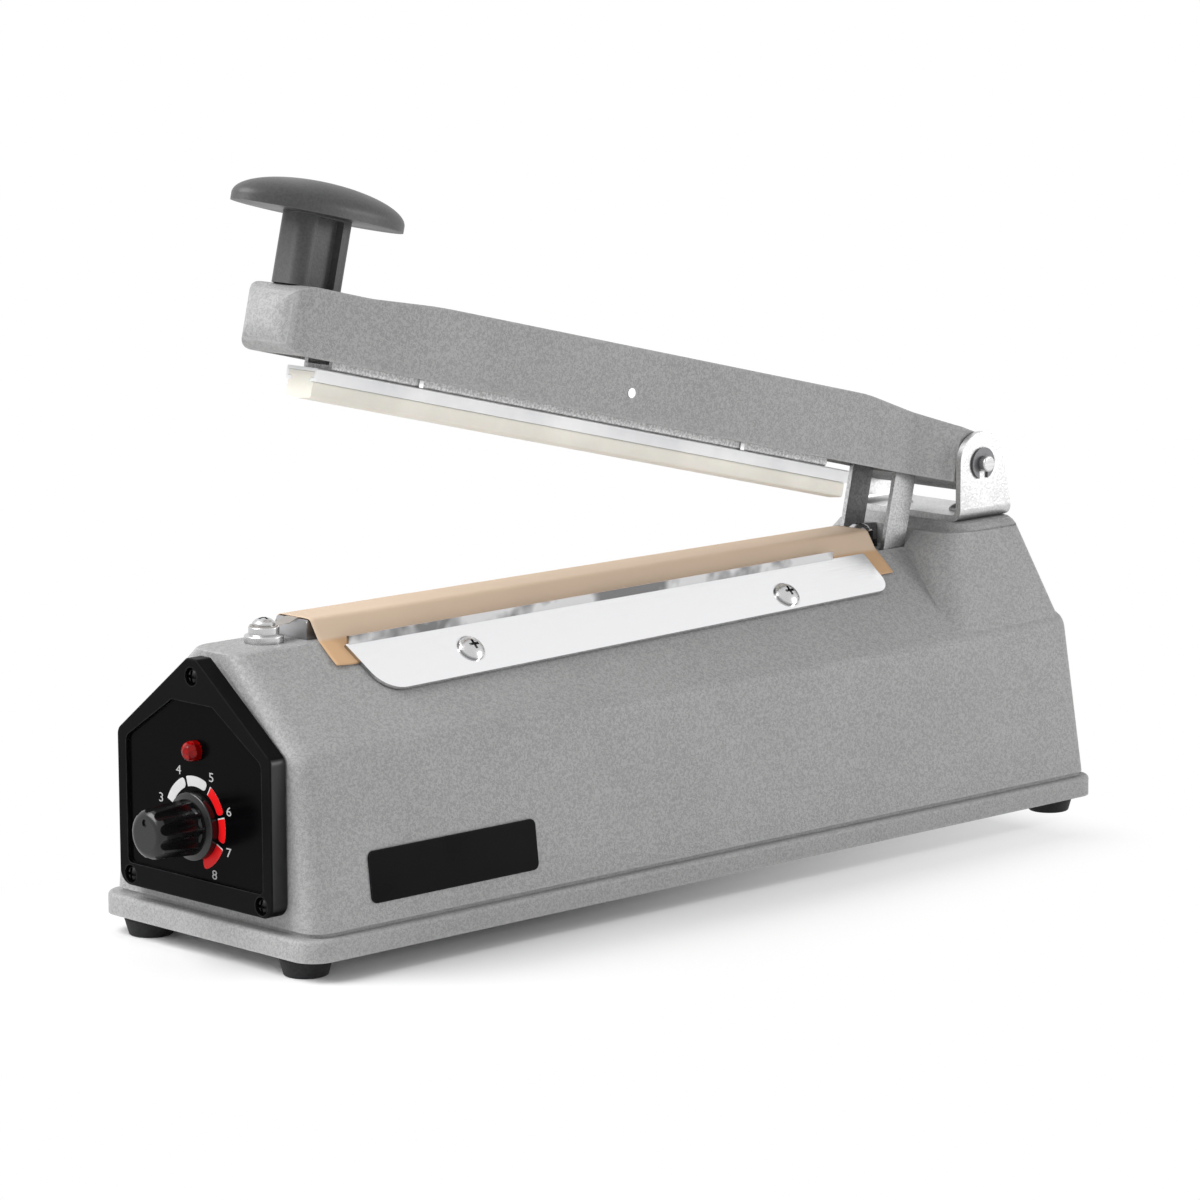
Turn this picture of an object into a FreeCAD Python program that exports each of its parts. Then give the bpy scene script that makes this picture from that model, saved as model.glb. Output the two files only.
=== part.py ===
import FreeCAD, Part
import math
import os
import re
import Sketcher

# Hand impulse sealer for 200 mm seals.
# +X runs from the control panel to the hinge, Z is up, and the feet stand on Z = 0.
# Each piece is drawn about the centre of the base flange and set over along X,
# so that the origin lies under the centre of the whole sealer.

SIZES = {
    # base casting
    "body_length": 324,
    "flange_width": 94,
    "flange_height": 6.2,
    "flange_corner": 7.5,
    "flange_round": 1.2,
    "body_inset": 1.8,
    "front_inset": 3.2,
    "groove_height": 1.2,
    "groove_depth": 0.9,
    "body_corner": 6,
    "eave_height": 60.75,
    "eave_width": 78,
    "end_draft": 2.6,
    "front_draft": 0.4,
    "ridge_height": 86.4,
    "ridge_width": 20.5,
    "ridge_front": 156.6,
    "ridge_rear": 145.5,
    "eave_round": 5,
    "ridge_round": 2.4,
    "ridge_end_round": 2.6,
    "wall": 3,
    # hinge block of the casting
    "block_rise": 6.9,
    "block_front": 121.5,
    "block_rear": 150.4,
    "block_step_height": 4.4,
    "block_step_front": 115.5,
    "block_ridge_front": 111.5,
    "block_width": 48,
    "block_foot_front": 104,
    "block_foot_rear": 157.2,
    "block_foot_width": 76,
    "block_corner": 7,
    "block_round": 3,
    # feet and base plate
    "foot_height": 5.8,
    "foot_radius": 7.5,
    "foot_tip_radius": 6.2,
    "foot_bore_radius": 3.4,
    "foot_floor": 2.6,
    "foot_inset": 8.8,
    "foot_side_inset": 13,
    "foot_screw_length": 14,
    "boss_radius": 4.6,
    "boss_height": 16,
    "plate_thickness": 1.5,
    "plate_rim": 3,
    "plate_gap": 0.25,
    "vent_length": 22,
    "vent_width": 3,
    "vent_pitch": 8,
    "vent_count": 9,
    "vent_start": 20,
    # fasteners
    "screw_radius": 1.5,
    "screw_head_radius": 3.2,
    "screw_head_height": 2.1,
    "panel_head_radius": 2.3,
    "panel_head_height": 1.5,
    "clamp_head_radius": 4.1,
    "clamp_head_height": 2.2,
    "cross_width": 0.9,
    "cross_length": 3.4,
    "cross_depth": 1.1,
    "fit": 0.05,
    # control panel
    "panel_width": 67,
    "panel_bottom": 16.6,
    "panel_eave": 61,
    "panel_top": 85,
    "panel_top_width": 4.4,
    "panel_thickness": 5.3,
    "panel_corner": 3.2,
    "panel_edge_round": 0.6,
    "panel_foot_corner": 4.4,
    "peak_round": 1.5,
    "seat_inset": 1.6,
    "seat_depth": 6,
    "sink_depth": 1.6,
    "sink_gap": 0.3,
    "panel_rim": 4,
    "panel_foot_rim": 6.6,
    "recess_depth": 1.3,
    "recess_top": 72.6,
    "recess_top_width": 17.7,
    "panel_screw_height": 80,
    "panel_screw_side": 28.6,
    "panel_screw_foot": 19.9,
    "panel_screw_length": 8,
    "window_inset": 9,
    "window_bottom": 26,
    "window_top": 66,
    # lamp and timer
    "lamp_height": 59.2,
    "lamp_radius": 2.9,
    "lamp_reach": 4.4,
    "timer_height": 38,
    "knob_radius": 9.6,
    "knob_body_radius": 7.9,
    "knob_tip_radius": 6.9,
    "knob_length": 18,
    "knob_skirt": 2.2,
    "knob_gap": 0.5,
    "knob_flutes": 10,
    "flute_radius": 2.6,
    "knob_tip_round": 2.4,
    "mark_radius": 1.1,
    "mark_offset": 3.4,
    "mark_depth": 0.5,
    "shaft_radius": 3,
    "shaft_reach": 12,
    "bushing_radius": 3.9,
    "bushing_reach": 2.6,
    "nut_width": 10,
    "nut_height": 1.8,
    "timer_radius": 8.5,
    "timer_depth": 9,
    # cord inlet
    "inlet_height": 26,
    "inlet_radius": 5.6,
    "inlet_bore": 3.6,
    "inlet_head_radius": 7.4,
    "inlet_reach": 7.5,
    "inlet_boss_radius": 9,
    "inlet_boss_rise": 0.45,
    "inlet_boss_depth": 2,
    # plain label plate on the near side
    "label_length": 62.4,
    "label_height": 14.6,
    "label_corner": 2,
    "label_thickness": 0.4,
    "label_centre": 106.6,
    "label_middle": 26,
    # sealing bed
    "bed_front": 128,
    "bed_rear": 92,
    "bed_width": 13,
    "bed_height": 5.6,
    "bed_round": 0.8,
    "band_width": 5,
    "band_thickness": 0.25,
    "terminal_front": 138,
    "terminal_rear": 102,
    "bush_radius": 5.6,
    "bush_height": 4.6,
    "bush_neck": 2.4,
    "eyelet_radius": 4,
    "sheet_thickness": 0.3,
    "sheet_gap": 0.1,
    "sheet_front": 127,
    "sheet_rear": 98.4,
    "flap_length": 9.8,
    # clamp plates
    "clamp_front": 120,
    "clamp_rear": 92,
    "clamp_front_drop": 3.5,
    "clamp_rear_drop": 1.5,
    "clamp_width": 17.8,
    "clamp_rear_width": 14.8,
    "clamp_thickness": 1,
    "clamp_lift": 0.45,
    "clamp_front_round": 9,
    "clamp_rear_round": 5,
    "lip_height": 3,
    "lip_end": 15,
    "clamp_screw_front": 78.7,
    "clamp_screw_rear": 49.2,
    "clamp_screw_drop": 12,
    "clamp_screw_length": 9,
    # hinge
    "pin_along": 133.75,
    "pin_lift": 17.8,
    "pin_radius": 2.5,
    "pin_tail": 3.2,
    "clip_radius": 5,
    "clip_thickness": 0.7,
    "ear_radius": 9.8,
    "ear_lean": 13,
    "bracket_width": 44.8,
    "bracket_sheet": 2,
    "bracket_bend": 2,
    "bracket_screw_side": 12,
    "bracket_screw_length": 8,
    "barrel_radius": 9.3,
    "barrel_gap": 0.35,
    "pin_clearance": 0.08,
    "open_angle": 13.4,
    # arm
    "arm_length": 279,
    "arm_width": 24,
    "arm_bottom": 7.3,
    "arm_land": 12,
    "arm_land_start": 250,
    "arm_crown": 13.6,
    "arm_crown_along": 225,
    "arm_back": 14.3,
    "arm_back_along": 45,
    "arm_wall": 2,
    "arm_roof": 2.6,
    "arm_corner": 8.5,
    "flare_start": 24,
    "flare_end": 11,
    "flare_round": 9,
    "arm_channel_start": 15,
    # rail, holder and silicone strip under the arm
    "rail_front": 255.5,
    "rail_rear": 52,
    "rail_width": 12,
    "rail_drop": 2.3,
    "rail_head": 2.4,
    "rail_sheet": 1.5,
    "rail_pin_along": 145,
    "rail_pin_radius": 1.5,
    "clip_front_along": 222,
    "clip_rear_along": 90,
    "clip_width": 1.6,
    "clip_sheet": 0.5,
    "holder_front": 261,
    "holder_rear": 42,
    "holder_width": 13,
    "holder_height": 3.8,
    "holder_wall": 1,
    "holder_lip": 1.4,
    "strip_width": 10.6,
    "strip_height": 5.1,
    "strip_crown": 0.6,
    "strip_fit": 0.08,
    "seal_gap": 0.05,
    # handle
    "handle_along": 264.5,
    "stem_length": 19.5,
    "stem_width": 12.4,
    "stem_height": 20,
    "stem_corner": 4.2,
    "stem_flute": 2.2,
    "stem_flute_width": 8,
    "cap_length": 59,
    "cap_width": 30,
    "cap_rim": 1.9,
    "cap_dome": 7.8,
    "cap_round": 1,
    "handle_screw_length": 14,
    # yoke that carries the arm's spring and trips the switch
    "leg_along": 20,
    "leg_width": 9,
    "leg_outer": 9.9,
    "leg_sheet": 1.5,
    "leg_reach": 42,
    "leg_tip_radius": 3,
    "leg_head": 7.2,
    "leg_head_gap": 0.2,
    "leg_slot_gap": 0.6,
    "slot_front": 100,
    "slot_rear": 121,
    "well_front": 109,
    "crossbar_reach": 36,
    "crossbar_radius": 2.2,
    # return spring and its post
    "spring_along": 109.6,
    "spring_radius": 4,
    "spring_wire": 0.7,
    "spring_turns": 7,
    "spring_seat": 50,
    "spring_gap": 0.4,
    "post_radius": 3.2,
    "post_foot_radius": 9,
    # microswitch
    "lever_along": 80,
    "lever_height": 69.5,
    "lever_side": 9.15,
    "lever_width": 4.4,
    "lever_length": 37,
    "lever_sheet": 0.6,
    "lever_angle": 2.8,
    "lever_barrel": 1.5,
    "lever_pin": 0.8,
    "switch_front": 77,
    "switch_rear": 103,
    "switch_top": 65.2,
    "switch_height": 15.8,
    "switch_width": 10,
    "plunger_along": 88,
    "plunger_radius": 1.2,
    "plunger_top": 69.2,
    "plunger_length": 5,
    "plunger_clearance": 0.1,
    "switch_screw_radius": 1.3,
    "stand_sheet": 1.5,
    # transformer
    "core_centre": 30,
    "core_length": 60,
    "core_height": 50,
    "core_depth": 24,
    "limb_width": 20,
    "window_width": 9,
    "window_height": 34,
    "coil_depth": 42,
    "coil_gap": 0.2,
    "frame_sheet": 1.2,
    "frame_foot": 10,
    # timer board
    "board_front": 128,
    "board_rear": 80,
    "board_width": 52,
    "board_sheet": 1.6,
    "board_height": 20,
    "standoff_radius": 2.8,
    "standoff_inset": 5,
    "relay_front": 104,
    "relay_length": 19,
    "relay_side": 19,
    "relay_width": 16,
    "relay_height": 15,
    "capacitor_along": 96,
    "capacitor_side": 10,
    "capacitor_radius": 6,
    "capacitor_height": 18,
}

doc = FreeCAD.newDocument("impulse_sealer")
dims = doc.addObject("Spreadsheet::Sheet", "Dims")
for row, (alias, number) in enumerate(SIZES.items(), 1):
    dims.set("A%d" % row, alias)
    dims.set("B%d" % row, str(number))
    dims.setAlias("B%d" % row, alias)
doc.recompute()

# Heights that follow from other sizes
DERIVED = {
    "block_height": "(ridge_height + block_rise)",
    "pin_height": "(block_height + pin_lift)",
}

# Formulas that several pieces share
FLANGE_TOP = "(foot_height + flange_height)"
SLOPE = "((eave_width - ridge_width) / 2 / (ridge_height - eave_height))"
SLOPE_SIDE = "sqrt(1 + %s ^ 2)" % SLOPE
WALL_FOOT = "(foot_height + flange_height + groove_height)"
WALL_SIDE = "(flange_width / 2 - body_inset - 0.4)"
WALL_LEAN = "((%s - eave_width / 2) / (eave_height - %s))" % (WALL_SIDE, WALL_FOOT)
WALL_LEAN_ANGLE = "(atan(%s) / 1 deg)" % WALL_LEAN
ROOF_LEAN = "(atan(%s) / 1 deg)" % SLOPE
ROOF_RUN = "(%s / %s)" % (SLOPE, SLOPE_SIDE)
ROOF_FALL = "(1 / %s)" % SLOPE_SIDE
ROOF_DROP = "(wall * %s / %s)" % (SLOPE_SIDE, SLOPE)
PLATE_TOP = "(foot_height + plate_thickness)"
FRONT_WALL = "(body_length / 2 - front_inset)"
REAR_WALL = "(body_length / 2 - body_inset)"
FRONT_EAVE = "(%s - front_draft)" % FRONT_WALL
REAR_EAVE = "(%s - end_draft)" % REAR_WALL
INLET_SEAT = "(%s - end_draft * (inlet_height - %s) / (eave_height - %s))" % (REAR_WALL, WALL_FOOT, WALL_FOOT)
PANEL_BACK = "(%s + 0.2)" % FRONT_WALL
PANEL_FACE = "(%s + panel_thickness)" % PANEL_BACK
PANEL_FLOOR = "(%s - recess_depth)" % PANEL_FACE
KNOB_BACK = "(%s + knob_gap)" % PANEL_FLOOR
FRONT_REACH = "(%s + knob_length)" % KNOB_BACK
REAR_REACH = "(%s + inlet_reach)" % INLET_SEAT
SHIFT = "((%s - %s) / 2)" % (FRONT_REACH, REAR_REACH)
FOOT_ALONG = "(body_length / 2 - foot_inset)"
FOOT_SIDE = "(flange_width / 2 - foot_side_inset)"
BED_TOP = "(ridge_height + bed_height)"
SHEET_TOP = "(%s + band_thickness + sheet_thickness)" % BED_TOP
STRIP_BOTTOM = "(pin_height - %s - seal_gap)" % SHEET_TOP
STRIP_TOP = "(%s - strip_height)" % STRIP_BOTTOM
RAIL_BOTTOM = "(%s - holder_height)" % STRIP_TOP
HOLDER_TOP = RAIL_BOTTOM
BUSH_TOP = "(ridge_height + bush_height)"
BRACKET_TOP = "(block_height + bracket_sheet)"
BARREL_HALF = "(bracket_width / 2 - bracket_sheet - barrel_gap)"
STEM_TOP = "(arm_land + stem_height)"
LEG_INNER = "(leg_outer - leg_sheet)"
SWITCH_STAND = "(lever_side + switch_width / 2)"


ROUND_STEPS = 3
ROUNDED = 3
HAIR = 0.01
X_AXIS = FreeCAD.Vector(1, 0, 0)
Y_AXIS = FreeCAD.Vector(0, 1, 0)
ROOF_ANGLE = "atan(1 / %s)" % SLOPE


def link(text):
    """Give a formula with each size's name pointed at the sheet."""
    def pointed(word):
        name = word.group()
        if name in DERIVED:
            return link(DERIVED[name])
        return "Dims." + name if name in SIZES else name
    return re.sub(r"[a-z_]{3,}", pointed, str(text))


def value(text):
    """Work a formula out as a number."""
    return float(dims.evalExpression(link(text)))


def bind(obj, target, text):
    """Tie a property or a constraint of an object to a formula."""
    obj.setExpression(target, link(text))


def place(obj, along="0", side="0", height="0", axis=None, angle=None):
    """Set a piece down in the sealer's frame and tie its place to the sheet."""
    along = "%s + (%s)" % (SHIFT, along)
    turn = FreeCAD.Rotation(axis, value(angle)) if axis else FreeCAD.Rotation()
    spot = FreeCAD.Vector(value(along), value(side), value(height))
    obj.Placement = FreeCAD.Placement(spot, turn)
    bind(obj, ".Placement.Base.x", along)
    bind(obj, ".Placement.Base.y", side)
    bind(obj, ".Placement.Base.z", height)
    if axis:
        bind(obj, ".Placement.Rotation.Angle", angle)
    return obj


def place_on_arm(obj):
    """Hang a piece drawn level about the hinge pin on the raised arm."""
    return place(obj, "pin_along", "0", "pin_height", FreeCAD.Vector(0, 1, 0), "open_angle")


def new_body(label):
    """Start a piece made of sketches and features."""
    body = doc.addObject("PartDesign::Body", label)
    body.Label = label
    return body


def new_sketch(body, name, role, offset="0"):
    """Start a sketch on one of the body's own origin planes."""
    sketch = body.newObject("Sketcher::SketchObject", name)
    plane = [item for item in body.Origin.OriginFeatures if item.Role == role][0]
    sketch.AttachmentSupport = [(plane, "")]
    sketch.MapMode = "FlatFace"
    sketch.AttachmentOffset = FreeCAD.Placement(FreeCAD.Vector(0, 0, value(offset)), FreeCAD.Rotation())
    bind(sketch, ".AttachmentOffset.Base.z", offset)
    return sketch


def pin_point(sketch, item, end, x, y):
    """Hold one point of a sketch at two formulas."""
    for kind, axis, text in (("DistanceX", -2, x), ("DistanceY", -1, y)):
        if text == "0":
            sketch.addConstraint(Sketcher.Constraint("PointOnObject", item, end, axis))
            continue
        made = sketch.addConstraint(Sketcher.Constraint(kind, -1, 1, item, end, value(text)))
        bind(sketch, "Constraints[%d]" % made, text)


def add_outline(sketch, corners):
    """Draw a closed outline. A corner is (x, y) or (x, y, radius), all formulas."""
    count = len(corners)
    spots = [FreeCAD.Vector(value(corner[0]), value(corner[1]), 0) for corner in corners]
    enter = list(spots)
    leave = list(spots)
    arcs = {}
    for index, corner in enumerate(corners):
        if len(corner) < ROUNDED:
            continue
        back = (spots[index - 1] - spots[index]).normalize()
        ahead = (spots[(index + 1) % count] - spots[index]).normalize()
        half = back.getAngle(ahead) / 2
        radius = value(corner[2])
        enter[index] = spots[index] + back * (radius / math.tan(half))
        leave[index] = spots[index] + ahead * (radius / math.tan(half))
        centre = spots[index] + (back + ahead).normalize() * (radius / math.sin(half))
        left_turn = back.cross(ahead).z < 0
        first, last = (enter[index], leave[index]) if left_turn else (leave[index], enter[index])
        start = math.atan2(first.y - centre.y, first.x - centre.x)
        stop = math.atan2(last.y - centre.y, last.x - centre.x)
        circle = Part.Circle(centre, FreeCAD.Vector(0, 0, 1), radius)
        arcs[index] = (Part.ArcOfCircle(circle, start, stop), left_turn)
    lines = [sketch.addGeometry(Part.LineSegment(leave[i], enter[(i + 1) % count])) for i in range(count)]
    for index, corner in enumerate(corners):
        before = lines[index - 1]
        after = lines[index]
        if index not in arcs:
            sketch.addConstraint(Sketcher.Constraint("Coincident", before, 2, after, 1))
            pin_point(sketch, after, 1, corner[0], corner[1])
            continue
        shape, left_turn = arcs[index]
        arc = sketch.addGeometry(shape)
        first, last = (1, 2) if left_turn else (2, 1)
        mark = sketch.addGeometry(Part.Point(spots[index]), True)
        sketch.addConstraint(Sketcher.Constraint("Tangent", before, 2, arc, first))
        sketch.addConstraint(Sketcher.Constraint("Tangent", arc, last, after, 1))
        sketch.addConstraint(Sketcher.Constraint("PointOnObject", mark, 1, before))
        sketch.addConstraint(Sketcher.Constraint("PointOnObject", mark, 1, after))
        pin_point(sketch, mark, 1, corner[0], corner[1])
        made = sketch.addConstraint(Sketcher.Constraint("Radius", arc, value(corner[2])))
        bind(sketch, "Constraints[%d]" % made, corner[2])


def add_circle(sketch, x, y, radius):
    """Draw a circle whose centre and radius are formulas."""
    centre = FreeCAD.Vector(value(x), value(y), 0)
    circle = sketch.addGeometry(Part.Circle(centre, FreeCAD.Vector(0, 0, 1), value(radius)))
    pin_point(sketch, circle, 3, x, y)
    made = sketch.addConstraint(Sketcher.Constraint("Radius", circle, value(radius)))
    bind(sketch, "Constraints[%d]" % made, radius)


def outline(body, name, role, corners, offset="0"):
    """Make a sketch that holds one closed outline."""
    sketch = new_sketch(body, name, role, offset)
    add_outline(sketch, corners)
    return sketch


def rectangle(x_low, x_high, y_low, y_high, radius=None):
    """Give the four corners of a rectangle, rounded where a radius is given."""
    spots = [(x_low, y_low), (x_high, y_low), (x_high, y_high), (x_low, y_high)]
    return [spot + (radius,) for spot in spots] if radius else spots


def box_outline(length, width, radius=None):
    """Give a rectangle centred on the origin."""
    return rectangle("-(%s) / 2" % length, "(%s) / 2" % length, "-(%s) / 2" % width, "(%s) / 2" % width, radius)


def extrude(body, kind, sketch, length, both=False, back=False):
    """Pad or pocket a sketch by a length, to one side or evenly to both."""
    feature = body.newObject("PartDesign::" + kind, sketch.Name + kind)
    feature.Profile = sketch
    bind(feature, "Length", length)
    if both:
        feature.SideType = "Symmetric"
    feature.Reversed = back
    sketch.Visibility = False
    return feature


def pad(body, sketch, length, both=False, back=False):
    """Add material along the sketch's normal."""
    return extrude(body, "Pad", sketch, length, both, back)


def pocket(body, sketch, length, both=False, back=False):
    """Cut material away. A plain pocket goes against the sketch's normal."""
    return extrude(body, "Pocket", sketch, length, both, back)


def spin(body, kind, sketch, axis):
    """Turn a sketch fully about one of its own axes."""
    feature = body.newObject("PartDesign::" + kind, sketch.Name + kind)
    feature.Profile = sketch
    feature.ReferenceAxis = (sketch, [axis])
    feature.Angle = 360
    return feature


def loft(body, kind, sketches):
    """Join outlines at several heights with straight walls."""
    feature = body.newObject("PartDesign::" + kind, sketches[0].Name + "Loft")
    feature.Profile = sketches[0]
    feature.Sections = sketches[1:]
    feature.Ruled = True
    return feature


def edges_where(feature, test):
    """Name the edges of a feature whose two ends both pass a test."""
    doc.recompute()
    found = []
    for index, edge in enumerate(feature.Shape.Edges, 1):
        if all(test(vertex.Point) for vertex in edge.Vertexes):
            found.append("Edge%d" % index)
    return found


def fillet(body, feature, radius, test):
    """Round the edges of a feature that pass a test."""
    made = body.newObject("PartDesign::Fillet", feature.Name + "Round")
    made.Base = (feature, edges_where(feature, test))
    bind(made, "Radius", radius)
    return made


def cylinder(label, radius, height):
    """A plain round bar from the origin up."""
    bar = doc.addObject("Part::Cylinder", label)
    bar.Label = label
    bind(bar, "Radius", radius)
    bind(bar, "Height", height)
    return bar


def boolean(kind, label, base, tool):
    """Cut, fuse or intersect two shapes."""
    made = doc.addObject("Part::" + kind, label)
    made.Label = label
    made.Base = base
    made.Tool = tool
    return made


def compound(label, pieces):
    """Gather separate solids in one node."""
    made = doc.addObject("Part::Compound", label)
    made.Label = label
    made.Links = pieces
    return made


def copies(label, source, spots):
    """Repeat one fastener. A spot is (along, side, height, axis, angle)."""
    links = []
    for index, spot in enumerate(spots, 1):
        twin = doc.addObject("App::Link", "%s_%d" % (label, index))
        twin.LinkedObject = source
        links.append(place(twin, *spot))
    return compound(label, links)


def screw(label, head_radius, head_height, length, cross=True):
    """A domed cross-head screw with its head's underside at the origin."""
    body = new_body(label)
    profile = outline(body, label + "_profile", "XZ_Plane", [
        ("0", "-(%s)" % length),
        ("screw_radius", "-(%s)" % length),
        ("screw_radius", "0"),
        (head_radius, "0"),
        (head_radius, "(%s) * 0.35" % head_height),
        ("(%s) * 0.62" % head_radius, head_height, head_radius),
        ("0", head_height),
    ])
    spin(body, "Revolution", profile, "V_Axis")
    if cross:
        for name, length_text, width_text in (("slot_a", "cross_length", "cross_width"),
                                              ("slot_b", "cross_width", "cross_length")):
            slot = outline(body, label + "_" + name, "XY_Plane", box_outline(length_text, width_text), head_height)
            pocket(body, slot, "cross_depth")
    return body


nodes = []


def keep(piece):
    """Mark a piece as a sub-part that gets its own file."""
    nodes.append(piece)
    return piece


# Base casting: a house-shaped shell on a flange, with the hinge block at the rear

def build_housing():
    body = new_body("housing_casting")
    flange = outline(body, "flange", "XY_Plane",
                     box_outline("body_length", "flange_width", "flange_corner"), "foot_height")
    rim = pad(body, flange, "flange_height")
    top = value(FLANGE_TOP)
    fillet(body, rim, "flange_round", lambda point: abs(point.z - top) < HAIR)
    neck = outline(body, "neck", "XY_Plane",
                   rectangle("-(%s - groove_depth)" % FRONT_WALL, "%s - groove_depth" % REAR_WALL,
                             "-(%s - groove_depth)" % WALL_SIDE, "%s - groove_depth" % WALL_SIDE,
                             "body_corner - groove_depth"), "foot_height")
    pad(body, neck, "flange_height + groove_height + 0.1")
    loft(body, "AdditiveLoft", [level(body, "wall_foot", WALL_FOOT, WALL_SIDE, "0")]
         + bend_levels(body, "eave", "eave_height", "eave_width / 2", WALL_LEAN_ANGLE, ROOF_LEAN, "eave_round")
         + bend_levels(body, "ridge", "ridge_height", "ridge_width / 2", ROOF_LEAN, "90", "ridge_round"))
    block_levels = [
        block_level(body, "block_foot", "eave_height", "0"),
        block_level(body, "block_ridge", "ridge_height", "0"),
        block_level(body, "block_step", "ridge_height + block_step_height", "0"),
    ]
    for index in range(ROUND_STEPS + 1):
        turn = "%d * %g" % (index, 90 / ROUND_STEPS)
        block_levels.append(block_level(body, "block_top_%d" % index,
                                        "block_height - block_round * (1 - sin(%s))" % turn,
                                        "block_round * 0.8 * (1 - cos(%s))" % turn))
    loft(body, "AdditiveLoft", block_levels)

    seat = outline(body, "panel_seat", "YZ_Plane", panel_outline("seat_inset"), "-" + PANEL_BACK)
    pad(body, seat, "seat_depth")

    inner_half = "(%s - wall)" % WALL_SIDE
    inner_front = "(%s - wall)" % FRONT_WALL
    inner_rear = "(%s - wall)" % REAR_WALL
    inner_eave = "(eave_height + wall / %s - %s)" % (SLOPE, ROOF_DROP)
    inner_eave_half = "(eave_width / 2 - wall)"
    inner_ridge = "(ridge_height - wall)"
    inner_ridge_half = "(eave_width / 2 - (%s + %s - eave_height) * %s)" % (inner_ridge, ROOF_DROP, SLOPE)
    cavity_corner = "(body_corner - wall)"
    cavity = [
        outline(body, "cavity_foot", "XY_Plane",
                rectangle("-" + inner_front, inner_rear, "-" + inner_half, inner_half, cavity_corner), "foot_height"),
        outline(body, "cavity_eave", "XY_Plane",
                rectangle("-(%s - front_draft)" % inner_front, "%s - end_draft" % inner_rear,
                          "-" + inner_eave_half, inner_eave_half, cavity_corner), inner_eave),
    ]
    loft(body, "SubtractiveLoft", cavity)
    loft_roof = [
        outline(body, "cavity_roof", "XY_Plane",
                rectangle("-(%s - front_draft)" % inner_front, "%s - end_draft" % inner_rear,
                          "-" + inner_eave_half, inner_eave_half, cavity_corner), inner_eave),
        outline(body, "cavity_ridge", "XY_Plane",
                rectangle("-(ridge_front - wall)", "ridge_rear - wall",
                          "-" + inner_ridge_half, inner_ridge_half, cavity_corner), inner_ridge),
    ]
    loft(body, "SubtractiveLoft", loft_roof)

    recess = outline(body, "plate_recess", "XY_Plane",
                     box_outline("(body_length - 2 * plate_rim)", "(flange_width - 2 * plate_rim)",
                                 "flange_corner - plate_rim"), "foot_height")
    pocket(body, recess, "plate_thickness", back=True)

    bosses = new_sketch(body, "foot_bosses", "XY_Plane", PLATE_TOP)
    for along in ("-" + FOOT_ALONG, FOOT_ALONG):
        for side in ("-" + FOOT_SIDE, FOOT_SIDE):
            add_circle(bosses, along, side, "boss_radius")
    pad(body, bosses, "boss_height")

    boss = new_sketch(body, "inlet_boss", "YZ_Plane", INLET_SEAT + " + inlet_boss_rise")
    add_circle(boss, "0", "inlet_height", "inlet_boss_radius")
    pad(body, boss, "inlet_boss_depth", back=True)

    window = outline(body, "panel_window", "YZ_Plane", [
        ("-(panel_width / 2 - window_inset)", "window_bottom", "3"),
        ("panel_width / 2 - window_inset", "window_bottom", "3"),
        ("panel_width / 2 - window_inset", "panel_eave - 6", "3"),
        ("8", "window_top", "3"),
        ("-8", "window_top", "3"),
        ("-(panel_width / 2 - window_inset)", "panel_eave - 6", "3"),
    ], "-%s - 2" % PANEL_BACK)
    pocket(body, window, "14", back=True)

    slots = new_sketch(body, "leg_slots", "XY_Plane", "block_height + 2")
    for sign in ("-", ""):
        inner = "%s(%s - leg_slot_gap)" % (sign, LEG_INNER)
        outer = "%s(leg_outer + leg_slot_gap)" % sign
        low_side, high_side = (outer, inner) if sign else (inner, outer)
        add_outline(slots, rectangle("slot_front", "slot_rear", low_side, high_side))
    pocket(body, slots, "block_height + 2 - ridge_height + 2 * wall + 3")
    well_half = "(leg_outer + leg_slot_gap)"
    well = outline(body, "leg_well", "XY_Plane",
                   rectangle("well_front", "slot_rear", "-" + well_half, well_half), "block_height + 2")
    pocket(body, well, "block_height + 2 - ridge_height + 2 * wall + 3")
    place(body)
    return body


def end_line(height, low_end, high_end, low, high):
    """How far an end wall reaches at a height between two levels."""
    return "(%s + (%s - (%s)) * (%s - %s) / (%s - %s))" % (low_end, high_end, low_end, height, low, high, low)


def level(body, name, height, half, draw_in):
    """One horizontal outline of the casting, with its end walls drawn in by an amount."""
    if name.startswith("ridge"):
        front = end_line(height, FRONT_EAVE, "ridge_front", "eave_height", "ridge_height")
        rear = end_line(height, REAR_EAVE, "ridge_rear", "eave_height", "ridge_height")
    else:
        front = end_line(height, FRONT_WALL, FRONT_EAVE, WALL_FOOT, "eave_height")
        rear = end_line(height, REAR_WALL, REAR_EAVE, WALL_FOOT, "eave_height")
    return outline(body, name, "XY_Plane",
                   rectangle("-(%s - %s)" % (front, draw_in), "%s - %s" % (rear, draw_in),
                             "-(%s)" % half, half, "body_corner - 0.3 * (%s)" % draw_in), height)


def bend_levels(body, name, height, half, lean_in, lean_out, radius):
    """Outlines that carry the wall round an edge in a few steps, from one lean to the next."""
    reach = "%s * tan((%s - %s) / 2)" % (radius, lean_out, lean_in)
    levels = []
    for step in range(ROUND_STEPS + 1):
        lean = "(%s + (%s - %s) * %g)" % (lean_in, lean_out, lean_in, step / ROUND_STEPS)
        side = "(%s + %s * sin(%s) + %s * (cos(%s) - cos(%s)))" % (half, reach, lean_in, radius, lean, lean_in)
        rise = "(%s - %s * cos(%s) + %s * (sin(%s) - sin(%s)))" % (height, reach, lean_in, radius, lean, lean_in)
        draw_in = "0"
        if name == "ridge":
            draw_in = "(ridge_end_round * (1 - cos(90 * %g)))" % (step / ROUND_STEPS)
        levels.append(level(body, "%s_%d" % (name, step), rise, side, draw_in))
    return levels


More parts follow.
